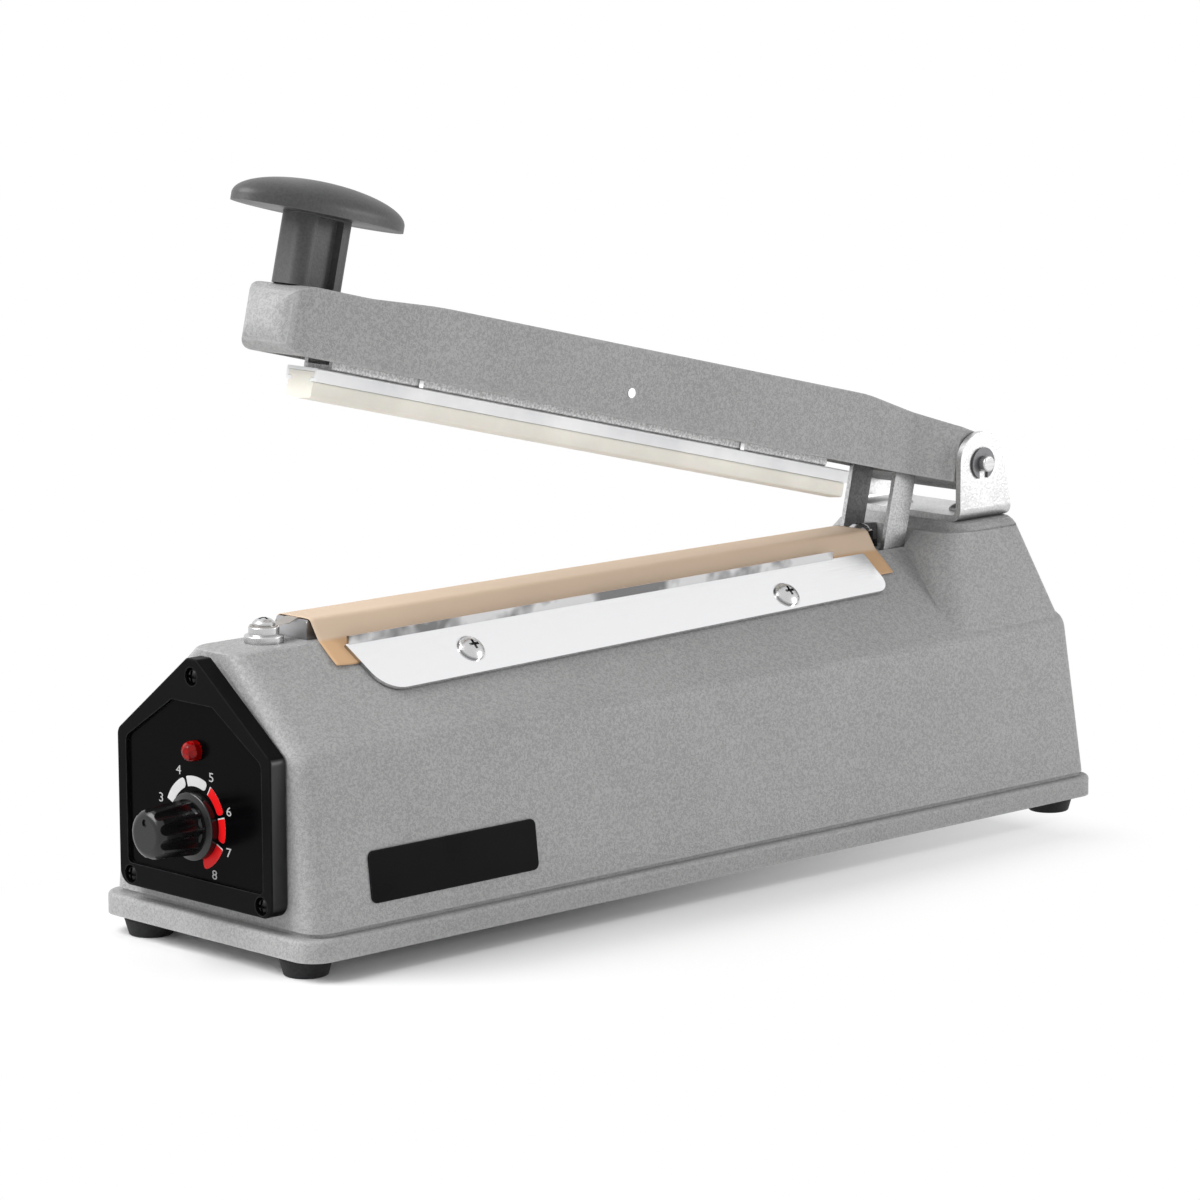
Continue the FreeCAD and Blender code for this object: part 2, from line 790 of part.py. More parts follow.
def block_level(body, name, height, draw_in):
    """One horizontal outline of the hinge block, drawn in all round by an amount."""
    fronts = {"block_foot": "block_foot_front", "block_ridge": "block_ridge_front", "block_step": "block_step_front"}
    front = fronts.get(name, "block_front")
    rear = end_line(height, "block_foot_rear", "block_rear", "eave_height", "block_height")
    half = end_line(height, "block_foot_width / 2", "block_width / 2", "eave_height", "block_height")
    return outline(body, name, "XY_Plane",
                   rectangle("%s + %s" % (front, draw_in), "%s - %s" % (rear, draw_in),
                             "-(%s - %s)" % (half, draw_in), "%s - %s" % (half, draw_in),
                             "block_corner - %s" % draw_in), height)


def panel_outline(inset):
    """The panel's five sides, drawn in from its edge by an inset."""
    half = "(panel_width / 2 - %s)" % inset
    top_half = "(panel_top_width / 2)"
    return [
        ("-" + half, "panel_bottom + " + inset, "panel_foot_corner"),
        (half, "panel_bottom + " + inset, "panel_foot_corner"),
        (half, "panel_eave - 0.4 * " + inset, "panel_corner"),
        (top_half, "panel_top - " + inset, "peak_round"),
        ("-" + top_half, "panel_top - " + inset, "peak_round"),
        ("-" + half, "panel_eave - 0.4 * " + inset, "panel_corner"),
    ]


def panel_screw_spots(depth):
    """Where the panel's three screws stand, at a depth along X."""
    turn = (Y_AXIS, "-90")
    return [
        (depth, "0", "panel_screw_height") + turn,
        (depth, "-panel_screw_side", "panel_screw_foot") + turn,
        (depth, "panel_screw_side", "panel_screw_foot") + turn,
    ]


def clamp_screw_spots():
    """Where the clamp plates' four screws stand, square to the roof."""
    lift = "(clamp_lift + clamp_thickness)"
    side = "(ridge_width / 2 + clamp_screw_drop * %s + %s * %s)" % (ROOF_RUN, lift, ROOF_FALL)
    height = "(ridge_height - clamp_screw_drop * %s + %s * %s)" % (ROOF_FALL, lift, ROOF_RUN)
    spots = []
    for along in ("-clamp_screw_front", "clamp_screw_rear"):
        spots.append((along, "-" + side, height, X_AXIS, ROOF_ANGLE))
        spots.append((along, side, height, X_AXIS, "-(%s)" % ROOF_ANGLE))
    return spots


def foot_spots(height):
    """Where the four feet stand."""
    spots = []
    for along in ("-" + FOOT_ALONG, FOOT_ALONG):
        for side in ("-" + FOOT_SIDE, FOOT_SIDE):
            spots.append((along, side, height, X_AXIS, "180"))
    return spots


def bracket_screw_spots():
    """Where the hinge bracket's two screws stand."""
    return [("pin_along + 1", "-bracket_screw_side", BRACKET_TOP), ("pin_along + 1", "bracket_screw_side", BRACKET_TOP)]


def terminal_spots(height):
    """Where the two terminal posts of the heating band stand."""
    return [("-terminal_front", "0", height), ("terminal_rear", "0", height)]


def drill(label, radius, length, spots):
    """Round holes that run down from each spot."""
    bit = new_body(label + "_bit")
    mark = new_sketch(bit, label + "_mark", "XY_Plane")
    add_circle(mark, "0", "0", radius)
    pad(bit, mark, length, back=True)
    return copies(label, bit, spots)


screw_hole = "screw_radius + fit"
casting = build_housing()
inlet_hole = place(cylinder("inlet_hole", "inlet_radius + fit", "12"),
                   INLET_SEAT + " - 8", "0", "inlet_height", Y_AXIS, "90")
drills = compound("housing_drills", [
    drill("panel_holes", screw_hole, "panel_screw_length + fit", panel_screw_spots("-(%s - sink_depth)" % PANEL_FACE)),
    drill("clamp_holes", screw_hole, "clamp_screw_length + 1", clamp_screw_spots()),
    drill("foot_holes", screw_hole, "foot_screw_length + 1", foot_spots("foot_floor")),
    drill("bracket_holes", screw_hole, "bracket_screw_length + 1", bracket_screw_spots()),
    drill("terminal_holes", "bush_neck + fit", "8", terminal_spots("ridge_height + 1")),
    inlet_hole,
])
housing = keep(boolean("Cut", "housing", casting, drills))


# Base plate with two rows of vent slots

def build_base_plate():
    body = new_body("base_plate")
    sheet = outline(body, "plate", "XY_Plane",
                    box_outline("(body_length - 2 * (plate_rim + plate_gap))",
                                "(flange_width - 2 * (plate_rim + plate_gap))",
                                "flange_corner - plate_rim - plate_gap"), "foot_height")
    pad(body, sheet, "plate_thickness")
    vents = outline(body, "vent", "XY_Plane",
                    rectangle("vent_start", "vent_start + vent_width", "-vent_length / 2", "vent_length / 2",
                              "vent_width * 0.49"), PLATE_TOP)
    cut = pocket(body, vents, "plate_thickness")
    doc.recompute()
    row_of = body.newObject("PartDesign::LinearPattern", "vent_row")
    row_of.Originals = [cut]
    row_of.Direction = (vents, ["H_Axis"])
    bind(row_of, "Length", "vent_pitch * (vent_count - 1)")
    bind(row_of, "Occurrences", "vent_count")
    body.Tip = row_of
    place(body)
    return body


plate_blank = build_base_plate()
plate_blank.Label = "base_plate_blank"
base_plate = keep(boolean("Cut", "base_plate", plate_blank,
                          drill("plate_holes", screw_hole, "foot_screw_length", foot_spots("foot_floor"))))
base_plate.Label = "base_plate"


# Tapered rubber feet and the screws that hold them

def build_foot(label):
    body = new_body(label)
    profile = outline(body, label + "_profile", "XZ_Plane", [
        (screw_hole, "foot_floor"),
        ("foot_bore_radius", "foot_floor"),
        ("foot_bore_radius", "0"),
        ("foot_tip_radius", "0", "0.6"),
        ("foot_radius", "foot_height * 0.8", "1"),
        ("foot_radius", "foot_height"),
        (screw_hole, "foot_height"),
    ])
    spin(body, "Revolution", profile, "V_Axis")
    return body


for end, along in (("front", "-" + FOOT_ALONG), ("rear", FOOT_ALONG)):
    for flank, side in (("near", "-" + FOOT_SIDE), ("far", FOOT_SIDE)):
        keep(place(build_foot("foot_%s_%s" % (end, flank)), along, side))
foot_screw = screw("foot_screw", "screw_head_radius - 0.1", "screw_head_height", "foot_screw_length")
keep(copies("foot_screws", foot_screw, foot_spots("foot_floor")))


# Control panel: a moulded five-sided plate with a sunk face

def build_panel():
    body = new_body("control_panel")
    back = outline(body, "panel_edge", "YZ_Plane", panel_outline("0"), "-" + PANEL_BACK)
    plate = pad(body, back, "panel_thickness", back=True)
    face = -value(PANEL_FACE)
    fillet(body, plate, "panel_edge_round", lambda point: abs(point.x - face) < HAIR)
    inner = "(panel_width / 2 - panel_rim)"
    sunk = outline(body, "panel_recess", "YZ_Plane", [
        ("-" + inner, "panel_bottom + panel_foot_rim", "1.5"),
        (inner, "panel_bottom + panel_foot_rim", "1.5"),
        (inner, "panel_eave - 1.6", "2.5"),
        ("recess_top_width / 2", "recess_top", "1"),
        ("-recess_top_width / 2", "recess_top", "1"),
        ("-" + inner, "panel_eave - 1.6", "2.5"),
    ], "-" + PANEL_FACE)
    pocket(body, sunk, "recess_depth", back=True)
    holes = new_sketch(body, "panel_holes_sketch", "YZ_Plane", "-%s - 1" % PANEL_FACE)
    add_circle(holes, "0", "timer_height", "bushing_radius + fit")
    add_circle(holes, "0", "lamp_height", "lamp_radius + fit")
    pocket(body, holes, "panel_thickness + 3", back=True)
    sinks = new_sketch(body, "panel_sinks", "YZ_Plane", "-" + PANEL_FACE)
    through = new_sketch(body, "panel_screw_holes", "YZ_Plane", "-" + PANEL_FACE)
    for side, height in (("0", "panel_screw_height"), ("-panel_screw_side", "panel_screw_foot"),
                         ("panel_screw_side", "panel_screw_foot")):
        add_circle(sinks, side, height, "panel_head_radius + sink_gap")
        add_circle(through, side, height, screw_hole)
    pocket(body, sinks, "sink_depth", back=True)
    pocket(body, through, "panel_thickness + 1", back=True)
    return place(body)


keep(build_panel())
panel_screw = screw("panel_screw", "panel_head_radius", "panel_head_height", "panel_screw_length")
keep(copies("panel_screws", panel_screw, panel_screw_spots("-(%s - sink_depth)" % PANEL_FACE)))


# Timer knob with flutes, drawn upright and laid along -X

def build_knob():
    body = new_body("timer_knob")
    profile = outline(body, "knob_profile", "XZ_Plane", [
        ("shaft_radius + fit", "bushing_reach + recess_depth"),
        ("nut_width * 0.68", "bushing_reach + recess_depth"),
        ("nut_width * 0.68", "0"),
        ("knob_radius", "0"),
        ("knob_radius", "knob_skirt", "0.5"),
        ("knob_body_radius", "knob_skirt + 0.6"),
        ("knob_tip_radius", "knob_length", "knob_tip_round"),
        ("0", "knob_length"),
        ("0", "shaft_reach + fit"),
        ("shaft_radius + fit", "shaft_reach + fit"),
    ])
    spin(body, "Revolution", profile, "V_Axis")
    flute = new_sketch(body, "flute", "XY_Plane", "knob_length + 1")
    add_circle(flute, "knob_tip_radius + flute_radius * 0.78", "0", "flute_radius")
    cut = pocket(body, flute, "knob_length - knob_skirt")
    doc.recompute()
    ring = body.newObject("PartDesign::PolarPattern", "flute_ring")
    ring.Originals = [cut]
    ring.Axis = (flute, ["N_Axis"])
    ring.Angle = 360
    bind(ring, "Occurrences", "knob_flutes")
    body.Tip = ring
    doc.recompute()
    mark = new_sketch(body, "round_mark", "XY_Plane", "knob_length")
    add_circle(mark, "mark_offset", "0", "mark_radius")
    pocket(body, mark, "mark_depth")
    return place(body, "-" + KNOB_BACK, "0", "timer_height", Y_AXIS, "-90")


def build_shaft():
    body = new_body("timer_shaft")
    profile = outline(body, "shaft_profile", "XZ_Plane", [
        ("0", "-(recess_depth + panel_thickness + 5)"),
        ("shaft_radius", "-(recess_depth + panel_thickness + 5)"),
        ("shaft_radius", "shaft_reach", "0.4"),
        ("0", "shaft_reach"),
    ])
    spin(body, "Revolution", profile, "V_Axis")
    return place(body, "-" + KNOB_BACK, "0", "timer_height", Y_AXIS, "-90")


def build_timer():
    body = new_body("timer_potentiometer")
    bore = "shaft_radius + pin_clearance"
    profile = outline(body, "timer_profile", "XZ_Plane", [
        (bore, "-(timer_depth - 1.4)"),
        ("0", "-(timer_depth - 1.4)"),
        ("0", "-timer_depth"),
        ("timer_radius", "-timer_depth", "0.8"),
        ("timer_radius", "0", "0.8"),
        ("bushing_radius", "0"),
        ("bushing_radius", "panel_thickness - recess_depth + bushing_reach"),
        (bore, "panel_thickness - recess_depth + bushing_reach"),
    ])
    spin(body, "Revolution", profile, "V_Axis")
    lugs = new_sketch(body, "solder_lugs", "XY_Plane", "-timer_depth * 0.6")
    for side in ("-5", "0", "5"):
        add_outline(lugs, rectangle("timer_radius - 1.5", "timer_radius + 4", side + " - 1", side + " + 1"))
    pad(body, lugs, "0.5")
    return place(body, "-" + PANEL_BACK, "0", "timer_height", Y_AXIS, "-90")


def build_nut():
    body = new_body("timer_nut")
    sketch = new_sketch(body, "nut_outline", "XY_Plane")
    point = "nut_width / 2 / cos(30)"
    corners = []
    for turn in range(6):
        corners.append(("%s * cos(%d)" % (point, 60 * turn + 30), "%s * sin(%d)" % (point, 60 * turn + 30)))
    add_outline(sketch, corners)
    add_circle(sketch, "0", "0", "bushing_radius + fit")
    pad(body, sketch, "nut_height")
    return place(body, "-" + PANEL_FLOOR, "0", "timer_height", Y_AXIS, "-90")


keep(build_knob())
keep(build_shaft())
keep(build_timer())
keep(build_nut())


# Red indicator lamp: a domed lens with a collar behind the panel

def build_lamp():
    body = new_body("indicator_lamp")
    tip = "(panel_thickness - recess_depth + lamp_reach)"
    profile = outline(body, "lamp_profile", "XZ_Plane", [
        ("0", "-6"),
        ("lamp_radius * 0.8", "-6"),
        ("lamp_radius * 0.8", "-2.4"),
        ("lamp_radius + 1", "-2.4"),
        ("lamp_radius + 1", "0"),
        ("lamp_radius", "0"),
        ("lamp_radius", tip, "lamp_radius * 0.96"),
        ("0", tip),
    ])
    spin(body, "Revolution", profile, "V_Axis")
    return place(body, "-" + PANEL_BACK, "0", "lamp_height", Y_AXIS, "-90")


keep(build_lamp())


# Cord inlet: a gland in the rear wall, with its bore open for the mains lead

def build_inlet():
    body = new_body("cord_inlet")
    profile = outline(body, "inlet_profile", "XZ_Plane", [
        ("inlet_bore", "-wall - 3.6"),
        ("inlet_radius + 1.6", "-wall - 3.6"),
        ("inlet_radius + 1.6", "-wall - 0.8"),
        ("inlet_radius", "-wall - 0.8"),
        ("inlet_radius", "inlet_boss_rise + fit"),
        ("inlet_head_radius", "inlet_boss_rise + fit"),
        ("inlet_head_radius", "2.6", "0.8"),
        ("inlet_bore + 1.5", "inlet_reach", "0.6"),
        ("inlet_bore", "inlet_reach"),
    ])
    spin(body, "Revolution", profile, "V_Axis")
    return place(body, INLET_SEAT, "0", "inlet_height", Y_AXIS, "90")


keep(build_inlet())


# Plain label plate on the near wall

def build_label():
    body = new_body("side_label")
    plate = outline(body, "label_edge", "XY_Plane", box_outline("label_length", "label_height", "label_corner"))
    pad(body, plate, "label_thickness")
    side = "-(%s - (label_middle - %s) * %s + 0.02)" % (WALL_SIDE, WALL_FOOT, WALL_LEAN)
    return place(body, "-label_centre", side, "label_middle", X_AXIS, "90 - " + WALL_LEAN_ANGLE)


keep(build_label())


# Sealing bed, heating band and terminals

def build_bed():
    body = new_body("heater_bed")
    profile = outline(body, "bed_profile", "YZ_Plane", [
        ("-bed_width / 2", "ridge_height"),
        ("bed_width / 2", "ridge_height"),
        ("bed_width / 2", BED_TOP, "bed_round"),
        ("-bed_width / 2", BED_TOP, "bed_round"),
    ], "-bed_front")
    pad(body, profile, "bed_front + bed_rear")
    return place(body)


def build_band():
    body = new_body("heating_band")
    low = BUSH_TOP
    high = BED_TOP
    front = "-(terminal_front - eyelet_radius + 1)"
    rear = "terminal_rear - eyelet_radius + 1"
    ribbon = outline(body, "ribbon", "XZ_Plane", [
        (front, low),
        ("-(bed_front + 2.6)", low),
        ("-(bed_front + 0.1)", high),
        ("bed_rear + 0.1", high),
        ("bed_rear + 2.6", low),
        (rear, low),
        (rear, low + " + band_thickness"),
        ("bed_rear + 2.7", low + " + band_thickness"),
        ("bed_rear + 0.2", high + " + band_thickness"),
        ("-(bed_front + 0.2)", high + " + band_thickness"),
        ("-(bed_front + 2.7)", low + " + band_thickness"),
        (front, low + " + band_thickness"),
    ])
    pad(body, ribbon, "band_width", both=True)
    eyes = new_sketch(body, "eyelets", "XY_Plane", low)
    for along in ("-terminal_front", "terminal_rear"):
        add_circle(eyes, along, "0", "eyelet_radius")
    pad(body, eyes, "band_thickness")
    holes = new_sketch(body, "eyelet_holes", "XY_Plane", low + " + 1")
    for along in ("-terminal_front", "terminal_rear"):
        add_circle(holes, along, "0", screw_hole)
    pocket(body, holes, "2")
    return place(body)


def build_bush(label):
    body = new_body(label)
    profile = outline(body, label + "_profile", "XZ_Plane", [
        (screw_hole, "-(wall + 1)"),
        ("bush_neck", "-(wall + 1)"),
        ("bush_neck", "0"),
        ("bush_radius", "0"),
        ("bush_radius", "bush_height * 0.45", "0.5"),
        ("bush_radius * 0.78", "bush_height * 0.55"),
        ("bush_radius * 0.78", "bush_height", "0.4"),
        (screw_hole, "bush_height"),
    ])
    spin(body, "Revolution", profile, "V_Axis")
    return body


def build_sheet():
    body = new_body("cover_sheet")
    top = "(%s + band_thickness)" % BED_TOP
    edge = "bed_width / 2 + sheet_gap"
    brink = "ridge_width / 2 + sheet_gap"
    thick = "sheet_thickness"
    floor = "(ridge_height + sheet_gap)"
    length = "sqrt((%s - %s) ^ 2 + (%s - %s) ^ 2)" % ("(" + brink + ")", "(" + edge + ")", top, floor)
    fall = "((%s - %s) / %s)" % (top, floor, length)
    run = "(((%s) - (%s)) / %s)" % (brink, edge, length)
    bend = "(%s / (1 + %s * %s + %s * %s))" % (thick, fall, ROOF_FALL, run, ROOF_RUN)
    flap_y = "%s + flap_length * %s" % (brink, ROOF_RUN)
    flap_z = "%s - flap_length * %s" % (floor, ROOF_FALL)
    right = [
        (edge, top),
        (brink, floor),
        (flap_y, flap_z),
        ("%s + %s * %s" % (flap_y, thick, ROOF_FALL), "%s + %s * %s" % (flap_z, thick, ROOF_RUN)),
        ("%s + %s * (%s + %s)" % (brink, bend, fall, ROOF_FALL), "%s + %s * (%s + %s)" % (floor, bend, run, ROOF_RUN)),
        ("%s + %s * %s / (1 + %s)" % (edge, thick, fall, run), "%s + %s" % (top, thick)),
    ]
    left = [("-(%s)" % y, z) for y, z in reversed(right)]
    profile = outline(body, "sheet_profile", "YZ_Plane", right + left, "-sheet_front")
    pad(body, profile, "sheet_front + sheet_rear")
    return place(body)


keep(build_bed())
keep(build_band())
keep(place(build_bush("front_terminal"), "-terminal_front", "0", "ridge_height"))
keep(place(build_bush("rear_terminal"), "terminal_rear", "0", "ridge_height"))
terminal_screw = screw("terminal_screw", "screw_head_radius", "screw_head_height", "bush_height + 4")
keep(copies("terminal_screws", terminal_screw, terminal_spots(BUSH_TOP + " + band_thickness")))
keep(build_sheet())


# Clamp plates that hold the cover sheet down on both roof slopes

def build_clamp():
    body = new_body("clamp_plate_near")
    blank = outline(body, "clamp_outline", "XY_Plane", [
        ("-clamp_front", "-clamp_front_drop"),
        ("-(clamp_front - 4)", "-(clamp_front_drop + clamp_width)", "clamp_front_round"),
        ("clamp_rear", "-(clamp_rear_drop + clamp_rear_width)", "clamp_rear_round"),
        ("clamp_rear - 1", "-clamp_rear_drop"),
    ])
    pad(body, blank, "clamp_thickness")
    rise_y = "lip_height * %s" % ROOF_FALL
    rise_z = "lip_height * %s" % ROOF_RUN
    back_y = "clamp_thickness * %s" % ROOF_RUN
    back_z = "clamp_thickness * %s" % ROOF_FALL
    fall = "((clamp_front_drop - clamp_rear_drop) / (clamp_front + clamp_rear - 1))"
    ends = []
    for end, along in (("front", "-(clamp_front - 1)"), ("rear", "clamp_rear - lip_end")):
        top = "-(clamp_rear_drop + (clamp_rear - 1 - (%s)) * %s)" % (along, fall)
        ends.append(outline(body, "clamp_lip_" + end, "YZ_Plane", [
            (top, "0"),
            ("%s + %s" % (top, rise_y), rise_z),
            ("%s + %s - %s" % (top, rise_y, back_y), "%s + %s" % (rise_z, back_z)),
            ("%s - clamp_thickness * 0.4" % top, "clamp_thickness"),
        ], along))
    loft(body, "AdditiveLoft", ends)
    holes = new_sketch(body, "clamp_holes_sketch", "XY_Plane", "clamp_thickness + 1")
    for along in ("-clamp_screw_front", "clamp_screw_rear"):
        add_circle(holes, along, "-clamp_screw_drop", screw_hole)
    pocket(body, holes, "clamp_thickness + 2")
    side = "-(ridge_width / 2 + clamp_lift * %s)" % ROOF_FALL
    height = "ridge_height + clamp_lift * %s" % ROOF_RUN
    return place(body, "0", side, height, X_AXIS, ROOF_ANGLE)


near_clamp = keep(build_clamp())
far_clamp = doc.addObject("Part::Mirroring", "clamp_plate_far")
far_clamp.Label = "clamp_plate_far"
far_clamp.Source = near_clamp
far_clamp.Normal = Y_AXIS
keep(far_clamp)
clamp_screw = screw("clamp_screw", "clamp_head_radius", "clamp_head_height", "clamp_screw_length")
keep(copies("clamp_screws", clamp_screw, clamp_screw_spots()))


# Hinge: a folded bracket, its pin with two spring clips, and the screws

def build_bracket():
    fold = new_body("bracket_fold")
    half = "(bracket_width / 2)"
    inner = "(bracket_width / 2 - bracket_sheet)"
    top = "(pin_height + ear_radius + 1)"
    strip = outline(fold, "fold_profile", "YZ_Plane", [
        ("-" + half, "block_height", "bracket_sheet + bracket_bend"),
        (half, "block_height", "bracket_sheet + bracket_bend"),
        (half, top),
        (inner, top),
        (inner, BRACKET_TOP, "bracket_bend"),
        ("-" + inner, BRACKET_TOP, "bracket_bend"),
        ("-" + inner, top),
        ("-" + half, top),
    ], "pin_along - ear_radius - 1")
    pad(fold, strip, "ear_radius * 2 + 12")
    place(fold)
    side = new_body("bracket_side")
    crest = "pin_height + ear_radius"
    back_top = "pin_along + ear_radius * tan((90 - ear_lean) / 2)"
    back_foot = "pin_along + ear_radius / cos(ear_lean) + (pin_height - block_height) * tan(ear_lean)"
    ear = outline(side, "ear_profile", "XZ_Plane", [
        ("pin_along - ear_radius", "block_height"),
        (back_foot, "block_height", "1"),
        (back_top, crest, "ear_radius * 0.97"),
        ("pin_along - ear_radius", crest, "ear_radius * 0.97"),
    ])
    pad(side, ear, "bracket_width + 2", both=True)
    bore = new_sketch(side, "ear_bore", "XZ_Plane")
    add_circle(bore, "pin_along", "pin_height", "pin_radius + fit")
    pocket(side, bore, "bracket_width + 4", both=True)
    holes = new_sketch(side, "bracket_holes_sketch", "XY_Plane", BRACKET_TOP + " + 2")
    for along, across, height in bracket_screw_spots():
        add_circle(holes, along, across, screw_hole)
    pocket(side, holes, "bracket_sheet + 4")
    place(side)
    return boolean("Common", "hinge_bracket", fold, side)


def build_pin():
    body = new_body("hinge_pin")
    half = "(bracket_width / 2)"
    reach = "(bracket_width / 2 + pin_tail)"
    groove = "(pin_radius - 0.5)"
    clip = "(%s + fit)" % half
    right = [
        (groove, clip),
        (groove, clip + " + clip_thickness"),
        ("pin_radius", clip + " + clip_thickness"),
        ("pin_radius", reach, "0.5"),
        ("0", reach),
    ]
    left = [("0", "-" + reach), ("pin_radius", "-" + reach, "0.5"),
            ("pin_radius", "-(%s + clip_thickness)" % clip), (groove, "-(%s + clip_thickness)" % clip),
            (groove, "-" + clip), ("pin_radius", "-" + clip)]
    profile = outline(body, "pin_profile", "XY_Plane", left + [("pin_radius", clip)] + right)
    spin(body, "Revolution", profile, "V_Axis")
    return place(body, "pin_along", "0", "pin_height")


def build_clip():
    body = new_body("spring_clip")
    disc = new_sketch(body, "clip_disc", "XZ_Plane")
    add_circle(disc, "0", "0", "clip_radius")
    pad(body, disc, "clip_thickness")
    mouth = outline(body, "clip_mouth", "XZ_Plane", [
        ("-(pin_radius - 0.5 + fit)", "0"),
        ("-(pin_radius - 0.8)", "-clip_radius - 1"),
        ("pin_radius - 0.8", "-clip_radius - 1"),
        ("pin_radius - 0.5 + fit", "0"),
    ])
    pocket(body, mouth, "clip_thickness", back=True)
    eye = new_sketch(body, "clip_eye", "XZ_Plane")
    add_circle(eye, "0", "0", "pin_radius - 0.5 + fit")
    pocket(body, eye, "clip_thickness", back=True)
    return body


keep(build_bracket())
bracket_screw = screw("bracket_screw", "screw_head_radius", "screw_head_height", "bracket_screw_length")
keep(copies("bracket_screws", bracket_screw, bracket_screw_spots()))
keep(build_pin())
keep(copies("hinge_clips", build_clip(), [
    ("pin_along", "-(bracket_width / 2 + fit)", "pin_height"),
    ("pin_along", "bracket_width / 2 + fit + clip_thickness", "pin_height"),
]))


# Arm: a cast channel with a barrel at the hinge, drawn level with the pin at the origin

def build_arm():
    body = new_body("arm")
    side = outline(body, "arm_side", "XZ_Plane", [
        ("-arm_length", "-arm_bottom"),
        ("-(barrel_radius - 1)", "-arm_bottom"),
        ("-5", "-barrel_radius * 0.85"),
        ("0", "-barrel_radius * 0.85"),
        ("0", "barrel_radius * 0.97"),
        ("-1.5", "barrel_radius * 0.97"),
        ("-arm_back_along", "arm_back", "60"),
        ("-arm_crown_along", "arm_crown", "200"),
        ("-arm_land_start", "arm_land", "60"),
        ("-arm_length", "arm_land"),
    ])
    pad(body, side, "2 * %s" % BARREL_HALF, both=True)
    barrel = new_sketch(body, "arm_barrel", "XZ_Plane")
    add_circle(barrel, "0", "0", "barrel_radius")
    pad(body, barrel, "2 * %s" % BARREL_HALF, both=True)
    trim = new_sketch(body, "arm_plan", "XY_Plane", "arm_back + 5")
    wide = "(%s + 1)" % BARREL_HALF
    for sign in ("-", ""):
        corners = [
            ("-(arm_length + 1)", sign + "(arm_width / 2)"),
            ("-flare_start", sign + "(arm_width / 2)", "flare_round"),
            ("-flare_end", sign + "(%s - 1.5)" % BARREL_HALF, "3"),
            ("-(flare_end - 3)", sign + wide),
            ("-(arm_length + 1)", sign + wide),
        ]
        add_outline(trim, corners)
    trimmed = pocket(body, trim, "arm_back + barrel_radius + 10")
    end = value("arm_length")
    posts = fillet(body, trimmed, "arm_corner", lambda point: abs(point.x + end) < HAIR)
    posts.Label = "arm_end_round"
    inner = outline(body, "arm_channel", "XZ_Plane", [
        ("-(arm_length - arm_roof)", "-(arm_bottom + 6)"),
        ("-arm_channel_start", "-(arm_bottom + 6)"),
        ("-arm_channel_start", "leg_head + leg_head_gap"),
        ("-arm_back_along", "arm_back - arm_roof"),
        ("-arm_crown_along", "arm_crown - arm_roof"),
        ("-arm_land_start", "arm_land - arm_roof"),
        ("-(arm_length - arm_roof)", "arm_land - arm_roof"),
    ])
    pocket(body, inner, "arm_width - 2 * arm_wall", both=True)
    bores = new_sketch(body, "arm_bores", "XZ_Plane")
    add_circle(bores, "0", "0", "pin_radius + pin_clearance")
    add_circle(bores, "-rail_pin_along", "0.5", "rail_pin_radius + fit")
    pocket(body, bores, "2 * %s + 4" % BARREL_HALF, both=True)
    taps = new_sketch(body, "arm_taps", "XY_Plane", "arm_back + 1")
    add_circle(taps, "-handle_along", "0", screw_hole)
    add_circle(taps, "-leg_along", "0", screw_hole)
    pocket(body, taps, "arm_roof + 6")
    return place_on_arm(body)


keep(build_arm())


# Rail, its cross pin and clips, the strip holder and the silicone strip

def build_rail():
    body = new_body("holder_rail")
    half = "(rail_width / 2)"
    inner = "(rail_width / 2 - rail_sheet)"
    low = "-" + RAIL_BOTTOM
    high = "rail_head"
    profile = outline(body, "rail_profile", "YZ_Plane", [
        ("-" + half, low, "1"),
        (half, low, "1"),
        (half, high),
        (inner, high),
        (inner, low + " + rail_sheet"),
        ("-" + inner, low + " + rail_sheet"),
        ("-" + inner, high),
        ("-" + half, high),
    ], "-rail_front")
    pad(body, profile, "rail_front - rail_rear")
    bore = new_sketch(body, "rail_bore", "XZ_Plane")
    add_circle(bore, "-rail_pin_along", "0.5", "rail_pin_radius + fit")
    pocket(body, bore, "rail_width + 2", both=True)
    return place_on_arm(body)


def build_rail_pin():
    body = new_body("rail_pin")
    mark = new_sketch(body, "rail_pin_mark", "XZ_Plane")
    add_circle(mark, "-rail_pin_along", "0.5", "rail_pin_radius")
    pad(body, mark, "arm_width + 0.3", both=True)
    return place_on_arm(body)


def build_clips():
    body = new_body("rail_clips")
    inner = "(rail_width / 2 + fit)"
    outer = "(rail_width / 2 + fit + clip_sheet)"
    low = "-(%s - 0.1)" % RAIL_BOTTOM
    for name, along in (("clip_front", "clip_front_along"), ("clip_rear", "clip_rear_along")):
        sketch = new_sketch(body, name, "XZ_Plane", "0")
        add_outline(sketch, rectangle("-(%s + clip_width / 2)" % along, "-(%s - clip_width / 2)" % along,
                                      low, "rail_head - 0.4"))
        pad(body, sketch, "2 * " + outer, both=True)
    gap = outline(body, "clip_gap", "YZ_Plane", rectangle("-" + inner, inner, "-20", "20"), "-rail_front")
    pocket(body, gap, "rail_front", back=True)
    return place_on_arm(body)


